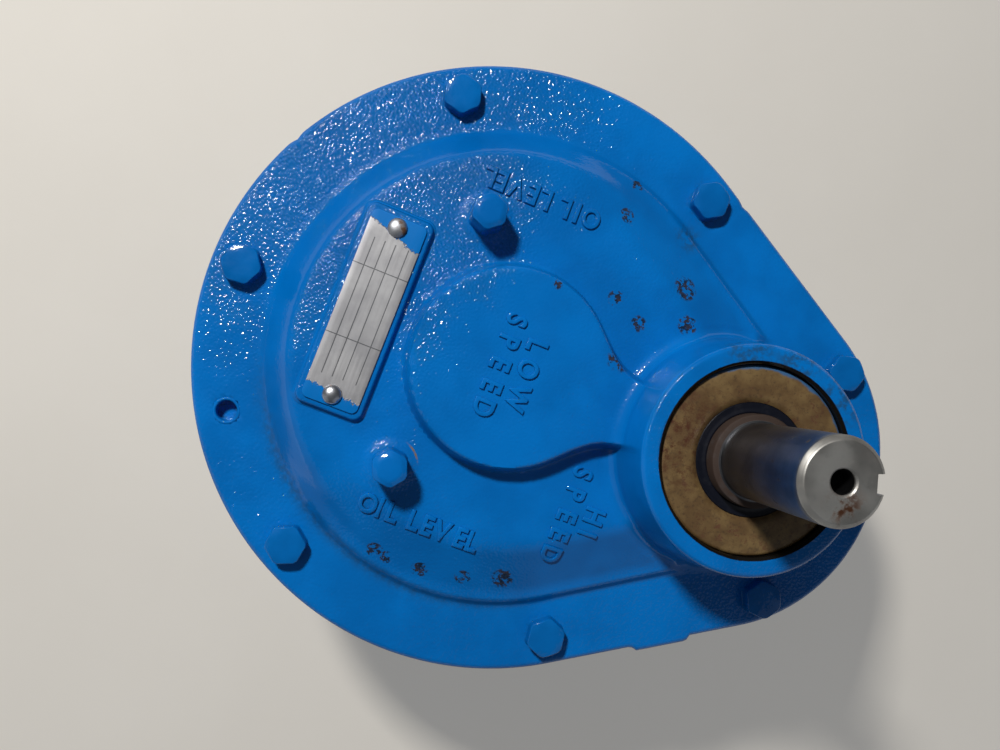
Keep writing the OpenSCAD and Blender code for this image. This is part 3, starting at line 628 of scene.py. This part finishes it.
# Steel turned and ground: fine rings across the axis, dull streaks and rust blooms
def turnedSteel(name, tone=0.16, rustTone=(0.14, 0.055, 0.025, 1), rust=0.5, rough=0.30,
                rustRing=None):
    material, shader = makeMaterial(name, {"Metallic": 1.0})
    rings = noise(900, 3, 0.6, objectCoords((0.02, 0.02, 1)))
    stain = noise(70, 6, 0.6)
    bloom = ranged(noise(190, 5, 0.6), 0.66 - 0.14*rust, 0.80 - 0.14*rust)
    if rustRing:
        radius, height = rustRing
        collar = times(ranged(awayFrom(hsX, 0), (radius - 0.3)*mm, radius*mm),
                       ranged(axisOf("Z"), (height - 1)*mm, height*mm))
        collar = times(collar, ranged(stain, 0.25, 0.50, 0.35, 0.95))
        bloom = most(bloom, collar)
    dark = (tone*0.62, tone*0.64, tone*0.70, 1)
    bright = (tone*1.1, tone*1.12, tone*1.16, 1)
    metal = blend(ranged(stain, 0.35, 0.65), dark, bright)
    grain = bump(rings, 0.5, 0.00008, bump(stain, 0.25, 0.0003))
    wire(shader, {"Base Color": blend(bloom, metal, rustTone), "Normal": grain,
                  "Roughness": ranged(bloom, 0.0, 1.0, rough, 0.75),
                  "Metallic": ranged(bloom, 0.0, 1.0, 1.0, 0.25)})
    return material


shaftSteel = turnedSteel("shaft_turned_steel", 0.15, (0.032, 0.015, 0.008, 1), 0.3, 0.36,
                         rustRing=(15.2, 103))
gearSteel = turnedSteel("gear_hobbed_steel", 0.42, rust=0.1, rough=0.28)
ringSteel = turnedSteel("ring_black_steel", 0.10, rust=0.1, rough=0.38)
raceSteel = turnedSteel("race_ground_steel", 0.58, rust=0.0, rough=0.15)


# The shaft's end face: lathe rings, and rust run down from the centre hole
def makeEndSteel():
    material, shader = makeMaterial("shaft_end_steel", {"Metallic": 0.85})
    along = times(awayFrom(hsX, 0), 4200.0)
    rings = addNode("TexNoise", {"W": along, "Scale": 1.0, "Detail": 3.0},
                    noise_dimensions="1D").outputs[0]
    stain = noise(240, 6, 0.62)
    metal = blend(ranged(noise(120, 5), 0.3, 0.7), (0.24, 0.235, 0.22, 1), (0.46, 0.455, 0.43, 1))
    low = nearPlace((hsX + 3.0, -6.5, shaftHigh[2]), 1.0, 9.0)
    rust = times(ranged(stain, 0.42, 0.62), plus(low, 0.12))
    wire(shader, {"Base Color": blend(rust, metal, (0.085, 0.036, 0.018, 1)),
                  "Roughness": ranged(rust, 0.0, 1.0, 0.46, 0.8),
                  "Normal": bump(rings, 0.35, 0.00006, bump(stain, 0.3, 0.0002))})
    return material


# The seal's tan pressed case: a mottled skin, and on the front seal rust on the side away
# from the key slot and blue overspray near its outer edge at +Y
def makeSealCase(name, front):
    material, shader = makeMaterial(name, {"Metallic": 0.15})
    grain = noise(700, 6, 0.7)
    cloudy = noise(110, 4, 0.55)
    tan = blend(ranged(cloudy, 0.34, 0.66), (0.110, 0.064, 0.026, 1), (0.185, 0.120, 0.048, 1))
    tan = blend(ranged(grain, 0.50, 0.68, 0, 0.55), tan, (0.045, 0.027, 0.016, 1))
    speck = ranged(noise(330, 6, 0.75), 0.54, 0.64)
    bloom = times(speck, ranged(noise(60, 2), 0.45, 0.62))
    tan = blend(times(bloom, 0.7), tan, (0.085, 0.024, 0.010, 1))
    if front:
        side = nearPlace((hsX - 33, -2, sealFace), 5, 30)
        patchy = ranged(noise(260, 6, 0.75), 0.46, 0.62)
        tan = blend(times(side, patchy), tan, (0.070, 0.024, 0.010, 1))
        ragged = plus(awayFrom(hsX, 0), ranged(cloudy, 0.3, 0.7, -0.0007, 0.0007))
        lean = plus(ragged, times(axisOf("Y"), 0.07))
        tan = blend(ranged(lean, 0.0362, 0.0374, 0, 0.8), tan, (0.01, 0.12, 0.30, 1))
    wire(shader, {"Base Color": tan, "Roughness": ranged(bloom, 0.0, 1.0, 0.40, 0.70),
                  "Normal": bump(grain, 0.25, 0.00012, bump(cloudy, 0.2, 0.0006))})
    return material


# The name plate: dull aluminium with faint scratches, ruled in fields. Its two ends are
# painted over up to a ragged line. Places are in metres from the plate's middle.
plateLook = {
    "alongRules": (-0.0066, -0.0024, 0.0018, 0.0070),
    "acrossRules": (-0.012, 0.016),
    "ruledHalf": 0.0275,
    "ink": (0.045, 0.05, 0.055, 1),
    "overpaint": (0.0, 0.135, 0.44, 1),
}


def makePlateMetal():
    look = plateLook
    material, shader = makeMaterial("plate_dull_aluminium", {"Specular IOR Level": 0.12})
    scratch = noise(900, 4, 0.6, objectCoords((1, 0.05, 1)))
    dull = ranged(noise(70, 5, 0.6), 0.3, 0.7)
    metal = blend(dull, (0.30, 0.30, 0.315, 1), (0.40, 0.40, 0.41, 1))
    x = math("SUBTRACT", axisOf("X"), plateX*mm)
    y = axisOf("Y")
    ragged = ranged(noise(420, 5, 0.7), 0.0, 1.0, -0.0022, 0.0022)
    # upper end: the line slants; lower end: it dips round the screw
    upper = plus(plus(y, times(x, 0.35)), ragged)
    lower = math("SUBTRACT", plus(ragged, times(x, -0.12)), y)
    painted = most(ranged(upper, 0.0302, 0.0308), ranged(lower, 0.0325, 0.0331))
    rules = 0.0
    for axis, places, half in ((x, look["alongRules"], 0.00026), (y, look["acrossRules"], 0.00024)):
        for place in places:
            rules = most(ranged(apart(axis, place), half, half - 0.0001), rules)
    within = ranged(apart(y, 0.0), look["ruledHalf"], look["ruledHalf"] - 0.0002)
    metal = blend(times(times(rules, within), 0.75), metal, look["ink"])
    wire(shader, {"Base Color": blend(painted, metal, look["overpaint"]),
                  "Metallic": ranged(painted, 0.0, 1.0, 0.55, 0.0),
                  "Roughness": ranged(scratch, 0.3, 0.7, 0.40, 0.52),
                  "Normal": bump(scratch, 0.2, 0.00004, bump(painted, 0.8, 0.00025))})
    return material


# Two tones mottled by a noise of the given scale, detail and roughness, with a fine grain
def mottled(name, constants, cloud, reach, tones, grain, strength, rough=None):
    material, shader = makeMaterial(name, constants)
    film = noise(*cloud)
    wire(shader, {"Base Color": blend(ranged(film, *reach), *tones),
                  "Normal": bump(noise(*grain), strength, 0.0001)})
    if rough:
        wire(shader, {"Roughness": ranged(film, *rough)})
    return material


endSteel = makeEndSteel()
sealPaint = makeSealCase("seal_case_tan", True)
rearSealPaint = makeSealCase("rear_seal_case_tan", False)
rubber = mottled("seal_rubber_moulded", {"Roughness": 0.38, "Specular IOR Level": 0.3},
                 (260, 5, 0.6), (0.45, 0.72, 0, 0.5),
                 ((0.003, 0.004, 0.009, 1), (0.014, 0.015, 0.020, 1)), (700, 4), 0.3)
plateMetal = makePlateMetal()
zincSteel = turnedSteel("zinc_plated_steel", 0.60, (0.16, 0.07, 0.03, 1), 0.25, 0.32)
rustyScrew = turnedSteel("rusty_screw_steel", 0.50, (0.11, 0.055, 0.028, 1), 1.0, 0.5)
brass = mottled("pressed_brass", {"Metallic": 1.0}, (160, 5), (0.35, 0.7),
                ((0.55, 0.37, 0.13, 1), (0.42, 0.26, 0.09, 1)), (800, 3), 0.2,
                (0.3, 0.7, 0.22, 0.42))
gasketFibre = mottled("gasket_fibre", {"Roughness": 0.8}, (1300, 4, 0.7), (0.3, 0.7),
                      ((0.13, 0.10, 0.06, 1), (0.26, 0.21, 0.13, 1)), (1300, 4, 0.7), 0.4)
print("materials made")


# Small pieces

# A hexagon's radius at an angle: the flat's distance over the cosine of the angle off that
# flat, cut at a circle that rounds the corners
def hexRadius(angle, acrossFlats, cornerCut):
    off = (angle + np.pi/6) % (np.pi/3) - np.pi/6
    flat = acrossFlats/2/np.cos(off)
    circle = acrossFlats/np.sqrt(3) - cornerCut
    return np.minimum(flat, circle)


# A painted hex head on a shank, as one closed grid of angles by profile rows. The paint
# leaves a small fillet at the foot and rounds the head's edges.
hexColumns = 96


def hexRows(centre, turn, acrossFlats, baseZ, height, shankRadius, shankLength, dome=0.0):
    angle = 2*np.pi*np.arange(hexColumns)/hexColumns
    spoke = unit(angle + turn)
    outline = hexRadius(angle, acrossFlats, 0.45)
    flat = acrossFlats/2 - 0.3
    shoulder = baseZ + height - np.maximum(outline - flat, 0)*0.62 - dome
    rows = []

    def add(radius, z):
        rows.append(level(np.array(centre) + spoke*np.broadcast_to(radius, hexColumns)[:, None], z))

    for z in (baseZ - shankLength, baseZ - 0.4):
        add(shankRadius, z)
    add(outline + 0.55, baseZ - 0.35)
    for up, out in ((0.05, 0.42), (0.30, 0.14), (0.75, 0.0)):
        add(outline + out, baseZ + up)
    for share in (0.35, 0.7):
        add(outline, baseZ + 0.75 + (shoulder - 0.9 - baseZ - 0.75)*share)
    for lean in np.radians([0, 25, 50, 75, 90]):
        add(outline - 0.6 + 0.6*np.cos(lean), shoulder - 0.6 + 0.6*np.sin(lean))
    for share in (0.86, 0.6, 0.3, 0.08):
        rise = (baseZ + height - shoulder)*np.clip((1 - share)/0.14, 0, 1)
        add((outline - 0.6)*share, shoulder + rise*(1 - share*share*0.3))
    return np.stack(rows)


def joinPieces(name, pieces):
    bpy.ops.object.select_all(action="DESELECT")
    for piece in pieces:
        piece.select_set(True)
    bpy.context.view_layer.objects.active = pieces[0]
    bpy.ops.object.join()
    pieces[0].name = name
    return pieces[0]


# Several closed grids of the same make joined into one mesh
def joinedGrids(name, grids):
    return joinPieces(name, [gridMesh(name, grid, capped=True) for grid in grids])


# A solid of revolution round a vertical line, from a profile of (radius, z) that is closed
# or has a cap at each end
def lathe(name, centre, profile, columns, closed=True):
    angle = 2*np.pi*np.arange(columns)/columns
    profile = np.array(profile, float)
    points = np.empty((len(profile), columns, 3))
    points[..., 0] = centre[0] + profile[:, :1]*np.cos(angle)
    points[..., 1] = centre[1] + profile[:, :1]*np.sin(angle)
    points[..., 2] = profile[:, 1:]
    return gridMesh(name, points, closeRows=closed, capped=not closed)


# Build: cover and what is on it

coverPiece = finishPiece(makeCover(), coverPaint, ("case_cover",))
print("cover built", len(coverPiece.data.polygons))

bolts = {"acrossFlats": 14.29, "radius": 4.76, "circleSmall": 64.4, "angleSmall": np.radians(51.3)}
boltSpots = [(boltCircle*np.cos(a), boltCircle*np.sin(a))
             for a in np.radians([60, 120, 180, 240, 300])]
boltSpots += [(hsX + bolts["circleSmall"]*np.cos(a), bolts["circleSmall"]*np.sin(a))
              for a in (-bolts["angleSmall"], bolts["angleSmall"])]
boltGrids = [hexRows(spot, np.radians(17*i), bolts["acrossFlats"], rimZ, headHeight,
                     bolts["radius"], rimZ - boltLow[2]) for i, spot in enumerate(boltSpots)]
finishPiece(joinedGrids("cover_bolt_heads", boltGrids), boltPaint,
            ("cover_bolts",))

plugs = {"acrossFlats": 12.7, "radius": 5.14, "length": 9, "dome": 0.6, "turns": (8, 21)}
plugFoot = domeZ + cover["padHeight"]
plugGrids = [hexRows(spot, np.radians(turn), plugs["acrossFlats"], plugFoot,
                     plugHigh[2] - plugFoot - 0.01, plugs["radius"], plugs["length"], plugs["dome"])
             for spot, turn in zip(plugSpots, plugs["turns"])]
finishPiece(joinedGrids("level_plug_heads", plugGrids), plugPaint,
            ("oil_level_plugs",))
print("bolts and plugs built")


# Rounded rectangle rings: corner arcs of the given radius joined by straight sides
def roundedLoop(half, corner, perCorner=10):
    arc = np.linspace(0, np.pi/2, perCorner)
    parts = []
    for quarter, (sx, sy) in enumerate(((1, 1), (-1, 1), (-1, -1), (1, -1))):
        a = arc + quarter*np.pi/2
        parts.append(np.stack([sx*(half[0] - corner) + corner*np.cos(a),
                               sy*(half[1] - corner) + corner*np.sin(a)], -1))
    return np.concatenate(parts)


# Loops of (x, y) at their heights, moved to a middle, as one grid
def stackLoops(rows, middle):
    return np.stack([level(loop + np.array(middle), z) for loop, z in rows])


# A low raised bar or pad as rings: foot cove, side, rounded edge and top
def padRows(middle, half, corner, lowZ, topZ, cove, edge):
    def grown(out):
        return roundedLoop((half[0] + out, half[1] + out), max(corner + out, 0.2))

    rows = [(grown(cove*1.6), lowZ - 1.2)]
    for out, up in ((1, 0), (0.45, 0.18), (0.12, 0.5), (0, 1)):
        rows.append((grown(cove*out), lowZ + cove*up))
    for lean in np.radians([0, 30, 60, 90]):
        rows.append((grown(edge*(np.cos(lean) - 1)), topZ - edge + edge*np.sin(lean)))
    rows += [(grown(-edge)*share, topZ) for share in (0.8, 0.45, 0.1)]
    return stackLoops(rows, middle)


plateHalf = ((plateHigh[0] - plateLow[0])/2, (plateHigh[1] - plateLow[1])/2)
padMargin = 2.2
padHalf = (plateHalf[0] + padMargin, plateHalf[1] + padMargin)
padGrid = padRows((plateX, 0), padHalf, 3.5, domeZ, plateLow[2] + 0.02, 1.4, 0.9)
plateGrid = padRows((plateX, 0), plateHalf, 2.5, plateLow[2], plateHigh[2], 0.02, 0.25)
finishPiece(gridMesh("name_plate_pad", padGrid, capped=True), coverPaint)
finishPiece(gridMesh("name_plate_sheet", plateGrid, capped=True), plateMetal,
            ("name_plate",))

screws = {"headRadius": 3.75, "pinRadius": 1.8, "edge": 0.25, "fromEnd": 3.8}
screwLow, screwHigh = boxOf("name_plate_screws")
r, low, foot = screws["headRadius"], plateHigh[2] - 0.1, plateHigh[2] + screws["edge"]
profile = [(screws["pinRadius"], screwLow[2]), (screws["pinRadius"], low), (r, low), (r, foot)]
profile += [(r*np.cos(a), foot + (screwHigh[2] - foot)*np.sin(a))
            for a in np.radians([15, 32, 48, 64, 80])]
for end, side, metal in (("upper", 1, rustyScrew), ("lower", -1, zincSteel)):
    spot = (plateX, side*(screwHigh[1] - screws["fromEnd"]))
    finishPiece(lathe("plate_screw_" + end, spot, profile, 64, False),
                metal, ("name_plate_screws",))

# The jack-screw hole's sleeve: its floor and wall, a painted lip, and the back
sleeve = {"depth": 5.6, "radius": 3.97, "core": 0.4}
floorZ, r = rimZ - sleeve["depth"], sleeve["radius"]
profile = [(sleeve["core"], floorZ), (r - 0.5, floorZ), (r - 0.1, floorZ + 0.2), (r, floorZ + 0.6)]
profile += [(r + out, rimZ + up) for out, up in (
    (0, -0.5), (0.12, -0.08), (0.45, 0.13), (0.9, 0.12), (1.4, -0.1), (1.65, -0.5))]
profile += [(r + 1.65, floorZ - 1), (sleeve["core"], floorZ - 1)]
finishPiece(lathe("jack_hole_sleeve", jack, profile[::-1], 96, False),
            coverPaint)


# Raised cast words: each line's letters, its turn about Z in degrees and every letter's middle
letters = {"height": 8.4, "narrow": 0.86, "raise": 0.95, "bevel": 0.42, "sunk": 0.6,
           "weight": 0.06}
words = [
    ("OILLEVEL", 180, [(x, 66.2) for x in (9.4, 3.5, -1.8, -10.1, -15.5, -22.1, -28.7, -33.4)]),
    ("OILLEVEL", 0, [(x, -67.8) for x in (-31.3, -26.5, -21.2, -12.5, -7, -1, 6.6, 11.6)]),
    ("HI", -90, [(53, y) for y in (-42, -49.5)]),
    ("SPEED", -90, [(42.6, y) for y in (-27.9, -36.6, -45.8, -53.6, -62.2)]),
    ("LOW", -90, [(6.3, y) for y in (10.9, 1.7, -9.8)]),
    ("SPEED", -90, [(-4.4, y) for y in (17.4, 8.6, -0.4, -9.3, -17.8)]),
]


# One letter as a mesh: its points are scaled to the cap height, turned and moved as
# u*along + v*upward + middle, and lifted by the cover's height under each point
def castLetter(letter, turn, middle):
    curve = bpy.data.curves.new("letter", "FONT")
    curve.body = letter
    curve.size = letters["height"]/0.70*mm
    curve.extrude = (letters["raise"] + letters["sunk"] - 2*letters["bevel"])/2*mm
    curve.bevel_depth = letters["bevel"]*mm
    curve.offset = letters["weight"]*mm
    curve.bevel_resolution = 2
    curve.resolution_u = 5
    holder = linked("letter", curve)
    shape = holder.evaluated_get(bpy.context.evaluated_depsgraph_get())
    mesh = bpy.data.meshes.new_from_object(shape)
    bpy.data.objects.remove(holder)
    cleaner = bmesh.new()
    cleaner.from_mesh(mesh)
    bmesh.ops.remove_doubles(cleaner, verts=cleaner.verts, dist=2e-6)
    bmesh.ops.recalc_face_normals(cleaner, faces=cleaner.faces)
    cleaner.to_mesh(mesh)
    cleaner.free()
    points = pointsOf(mesh)
    low, high = points.min(0), points.max(0)
    points -= (low + high)/2
    points[:, :2] *= letters["height"]/(high[1] - low[1])
    points[:, 0] *= letters["narrow"]
    c, s = np.cos(np.radians(turn)), np.sin(np.radians(turn))
    u, v, w = points.T
    x, y = middle[0] + u*c - v*s, middle[1] + u*s + v*c
    lift = coverHeight(x, y) + (letters["raise"] - letters["sunk"])/2
    placed = np.stack([x, y, lift + w], -1)
    mesh.vertices.foreach_set("co", (placed*mm).astype(np.float32).ravel())
    mesh.shade_smooth()
    mesh.set_sharp_from_angle(angle=crease)
    return linked("letter", mesh)


cast = [castLetter(letter, turn, middle) for text, turn, places in words
        for letter, middle in zip(text, places)]
finishPiece(joinPieces("cast_words", cast), coverPaint)
print("cast words built")


# Build: high-speed shaft and seal

journal = {"radius": 17.5, "extension": 14.2875, "chamfer": 1.6, "shoulder": 109.3,
           "keyHalf": 3.175, "keyDepth": 3.2, "keyLength": 48, "keyTurn": np.radians(17)}
keyFloor = np.sqrt(journal["extension"]**2 - journal["keyHalf"]**2) - journal["keyDepth"]


# The shaft as cross-section loops stacked along Z. Where the keyway runs, the loop dips
# to a flat floor; elsewhere the same points lie on the circle.
def shaftLoop(radius, cut):
    key = journal
    edge = np.arcsin(min(key["keyHalf"]/radius, 1))
    around = np.linspace(edge, 2*np.pi - edge, 120)
    circle = unit(around)*radius
    across = np.concatenate([np.full(5, -1.0), np.linspace(-0.97, 0.97, 13), np.full(5, 1.0)])
    depth = np.concatenate([np.linspace(0.08, 0.94, 5), np.ones(13), np.linspace(0.94, 0.08, 5)])
    onCircle = np.sqrt(np.maximum(radius**2 - (across*key["keyHalf"])**2, 0))
    x = onCircle + (keyFloor - onCircle)*depth*cut
    loop = np.concatenate([circle, np.stack([x, across*key["keyHalf"]], -1)])
    c, s = np.cos(key["keyTurn"]), np.sin(key["keyTurn"])
    return loop @ np.array([[c, s], [-s, c]])


# Unit directions for the end face, one for each point of a shaft loop. The round part is
# spread over all but a wedge as wide as the keyway's floor, and the keyway fills that wedge.
def endRing(count):
    wedge = np.arctan2(journal["keyHalf"], keyFloor)
    walls = np.linspace(0.10, 0.05, 5)*wedge + wedge
    angle = np.concatenate([np.linspace(1.12*wedge, 2*np.pi - 1.12*wedge, count - 23), -walls,
                            np.linspace(-0.97, 0.97, 13)*wedge*1.04, walls[::-1]])
    return unit(angle + journal["keyTurn"])


# The whole shaft: bearing seats and collars, the seal's journal, the extension with its
# keyway, the chamfer, and the end face down into the end hole
def makeShaft():
    ext, r, chamfer = journal["extension"], journal["radius"], journal["chamfer"]
    low, endZ, shoulder = shaftLow[2], shaftHigh[2], journal["shoulder"]
    keyStart = endZ - journal["keyLength"]
    plain = [(0.3, low), (14, low), (15, low + 1), (15, 27.8), (18, 27.8), (18, 29.8),
             (15.5, 29.8), (15.5, 63.8), (21, 63.8), (21, 74.8), (r, 74.8), (r, 91.8),
             (r - 0.9, 91.8), (r - 0.9, 93.4), (r, 93.4), (r, shoulder - 1),
             (r - 0.3, shoulder - 0.3), (r - 1, shoulder), (ext + 0.35, shoulder),
             (ext + 0.08, shoulder + 0.1), (ext, shoulder + 0.5)]
    plain += [(ext, z) for z in np.linspace(shoulder + 2, keyStart - 0.02, 6)]
    rows = [(shaftLoop(radius, 0), z) for radius, z in plain]
    rows += [(shaftLoop(ext, 0.97), keyStart), (shaftLoop(ext, 1), keyStart + 0.3)]
    rows += [(shaftLoop(ext, 1), z) for z in np.linspace(keyStart + 4, endZ - chamfer - 0.15, 12)]
    rows += [(shaftLoop(ext - out, 1), endZ - chamfer + z) for out, z in (
        (0.05, -0.05), (0.35, 0.3), (0.8, 0.75), (1.25, 1.2), (1.5, 1.45), (1.75, 1.575), (2, 1.6))]
    rim = rows[-1][0]
    ring = endRing(len(rim))
    rows += [(rim*(1 - share) + ring*9.9*share, endZ) for share in (0.25, 0.5, 0.75, 1.0)]
    rows += [(ring*radius, endZ + z) for radius, z in (
        (8.6, 0), (7.2, 0), (5.9, 0), (4.75, 0), (4.6, -0.06), (4.2, -0.42), (4, -0.62),
        (3.97, -1.2), (3.97, -8), (3.97, -20), (0.2, -22))]
    return gridMesh("hs_shaft_turned", stackLoops(rows, (hsX, 0)), capped=True)


# The pinion: a ring of teeth with rounded flanks, whose loop turns with height
pinion = {"teeth": 16, "pitch": 18.36, "module": 2.183, "helix": np.radians(18), "low": 29.8,
          "high": 63.8, "seat": 15.4}


def makePinion():
    teeth, pitch, low, high = (pinion[key] for key in ("teeth", "pitch", "low", "high"))
    t = np.linspace(0, 1, 20, endpoint=False)
    # outline over one tooth: root, flank, tip, flank, as radius against angle
    knots = [0, 0.10, 0.40, 0.60, 0.90, 1.0]
    radius = np.interp(t, knots, [-1.25, -1.2, 1.0, 1.0, -1.2, -1.25])*pinion["module"] + pitch
    share = np.interp(t, knots, [0, 0.13, 0.385, 0.615, 0.87, 1.0])
    angle = (np.arange(teeth)[:, None] + share).ravel()*2*np.pi/teeth
    radius = np.tile(radius, teeth)
    twist = np.tan(pinion["helix"])/pitch
    seat = np.full(len(radius), pinion["seat"])
    rows = []
    for z, r in ((low, seat), *((z, radius) for z in np.linspace(low, high, 12)), (high, seat)):
        rows.append((unit(angle + np.pi - twist - twist*(z - low))*r[:, None], z))
    return gridMesh("pinion_teeth", stackLoops(rows, (hsX, 0)), closeRows=True, smooth=False)


shaftPiece = finishPiece(makeShaft(), shaftSteel, ("hs_pinion_shaft",),
                         "high_speed_shaft")
shaftPiece.data.materials.append(endSteel)
centres = np.empty(len(shaftPiece.data.polygons)*3)
shaftPiece.data.polygons.foreach_get("center", centres)
fromEnd = shaftHigh[2]*mm - centres.reshape(-1, 3)[:, 2]
onChamfer = fromEnd < (journal["chamfer"] + 0.1)*mm
shaftPiece.data.polygons.foreach_set("material_index", onChamfer.astype(np.int32))
shaftPiece.data.polygons.foreach_set("use_smooth", fromEnd >= 0.02*mm)
finishPiece(makePinion(), gearSteel, body="high_speed_shaft")

# the seal's two parts as (radius, depth below the seal's face)
caseProfile = [(35.9, 9.9), (35.9, 1.4), (35.65, 0.6), (35.1, 0.12), (34.5, 0), (30, 0.02),
               (25.2, 0.03), (24, 0.12), (23, 0.5), (22.2, 1.1), (21.7, 1.5), (21.65, 1.9),
               (22.3, 2), (26, 1.9), (34.2, 1.9), (34.4, 9.9)]
lipProfile = [(21.62, 1.75), (21.3, 1.45), (20.7, 1.5), (19.7, 1.62), (19, 1.55), (18.3, 1.35),
              (17.9, 1.3), (17.62, 1.5), (17.56, 1.9), (18.9, 3.4), (17.58, 6.4), (18.8, 8.5),
              (21.1, 8.5), (21.6, 5)]
for name, profile, columns, slotName, material, node in (
        ("hs_seal_case_pressed", caseProfile, 192, "seal_case_steel", sealPaint, "hs_seal_case"),
        ("hs_seal_lip_rubber", lipProfile, 160, "seal_rubber", rubber, "hs_seal_lip")):
    profile = [(radius, sealFace - down) for radius, down in profile]
    finishPiece(lathe(name, (hsX, 0), profile, columns), material, (node,))
print("shaft and seal built")


# CAD nodes that stay

def keepNodes(material, *names):
    for name in names:
        node = nodes[name]
        node.data.materials.clear()
        node.data.materials.append(material)

keepNodes(casePaint, "gear_case")
keepNodes(boltPaint, "drain_plug")
keepNodes(zincSteel, "breather_body", "breather_cap", "cover_dowels")
keepNodes(gasketFibre, "cover_gasket")
keepNodes(shaftSteel, "ls_shaft")
keepNodes(gearSteel, "ls_gear", "ls_gear_key", "ls_gear_spacer")
keepNodes(rearSealPaint, "ls_seal_case")
keepNodes(rubber, "ls_seal_lip")
keepNodes(ringSteel, "hs_seal_spring", "ls_seal_spring", "hs_housing_snap_ring",
          "hs_shaft_snap_ring", "ls_preload_washer")
for bearing in ("hs_front", "hs_rear", "ls_front", "ls_rear"):
    keepNodes(raceSteel, bearing + "_outer_race", bearing + "_inner_race", bearing + "_balls")
    keepNodes(brass, bearing + "_cage")


# Floor, light and camera

floor = {"half": 3.0, "points": 40, "fadeFrom": 0.30, "fadeTo": 1.1, "leastFade": 0.30}
backdrop = (0.70, 0.69, 0.67, 1)


def makeFloor():
    side = np.linspace(-floor["half"], floor["half"], floor["points"])
    x, y = np.meshgrid(side, side)
    grid = np.stack([x, y, np.full_like(x, cadLow[2])], -1)/mm
    piece = gridMesh("studio_floor", grid, closeColumns=False)
    material, shader = makeMaterial("floor_pale", {"Roughness": 0.65})
    tone = blend(noise(9, 5, 0.6), (0.60, 0.56, 0.49, 1), (0.68, 0.64, 0.57, 1))
    wire(shader, {"Base Color": tone, "Normal": bump(noise(260, 4), 0.1, 0.0003)})
    # away from the object the floor turns into the backdrop's own colour; near it a share leastFade
    # of that glow stays, a painted light that lightens the object's shadow on the floor
    rays = addNode("LightPath").outputs
    eye = most(rays["Is Camera Ray"], rays["Is Glossy Ray"])
    plain = addNode("Emission", {0: backdrop, 1: 1.0}).outputs[0]
    far = ranged(awayFrom(0, 0), floor["fadeFrom"], floor["fadeTo"], floor["leastFade"], 1.0)
    fade = addNode("MixShader", {0: times(far, eye), 1: shader.outputs[0], 2: plain})
    # from below the floor lets the underside be seen
    back = addNode("NewGeometry").outputs["Backfacing"]
    clear = addNode("BsdfTransparent").outputs[0]
    shown = addNode("MixShader", {0: times(back, rays["Is Camera Ray"]), 1: fade.outputs[0],
                                  2: clear})
    wire(current["tree"].nodes["Material Output"], {"Surface": shown.outputs[0]})
    piece.data.materials.append(material)

makeFloor()


# A matrix from its right, up and back directions and its place
def placed(right, up, back, place):
    return Matrix([[right[i], up[i], back[i], place[i]] for i in range(3)] + [[0, 0, 0, 1]])


# A lamp at a place that faces a target
def areaLight(name, place, target, size, power, colour):
    light = bpy.data.lights.new(name, "AREA")
    light.shape = "RECTANGLE"
    light.size, light.size_y = size
    light.energy = power
    light.color = colour
    lamp = linked(name, light)
    back = np.array(place, float) - np.array(target, float)
    back /= np.linalg.norm(back)
    side = np.cross((0, 1, 0), back)
    side /= np.linalg.norm(side)
    up = np.cross(back, side)
    lamp.matrix_world = placed(side, up, back, place)


middle = (0.03, 0, 0.07)
areaLight("key", (-0.56, 0.41, 0.90), middle, (0.12, 0.12), 13.4, (1.0, 0.98, 0.95))
areaLight("fill", (0.85, -0.50, 0.45), middle, (1.4, 1.0), 1.1, (0.93, 0.96, 1.0))
areaLight("side", (-0.7, -0.75, 0.40), middle, (1.2, 0.9), 0.85, (0.95, 0.97, 1.0))

world = bpy.data.worlds.new("studio")
bpy.context.scene.world = world
world.use_nodes = True
startTree(world)
seen = addNode("Background", {0: backdrop, 1: 1.0}).outputs[0]
lit = addNode("Background", {0: (0.80, 0.86, 0.95, 1), 1: 0.09}).outputs[0]
eye = addNode("LightPath").outputs["Is Camera Ray"]
mixed = addNode("MixShader", {0: eye, 1: lit, 2: seen}).outputs[0]
addNode("OutputWorld", {"Surface": mixed})

lens = bpy.data.cameras.new("camera")
lens.lens, lens.sensor_width = 31.905, 36.0
lens.clip_start, lens.clip_end = 0.01, 20
camera = linked("camera", lens)
aboveRim = 354.5
camera.matrix_world = placed(right=(0.92432546, 0.35999119, 0.12660485),
                             up=(-0.36241199, 0.93200866, -0.00417265),
                             back=(-0.11949893, -0.04202623, 0.99194445),
                             place=(-0.0429, -0.0182, (rimZ + aboveRim)*mm))
bpy.context.scene.camera = camera
bpy.context.scene.view_settings.view_transform = "Standard"
print("light and camera set")
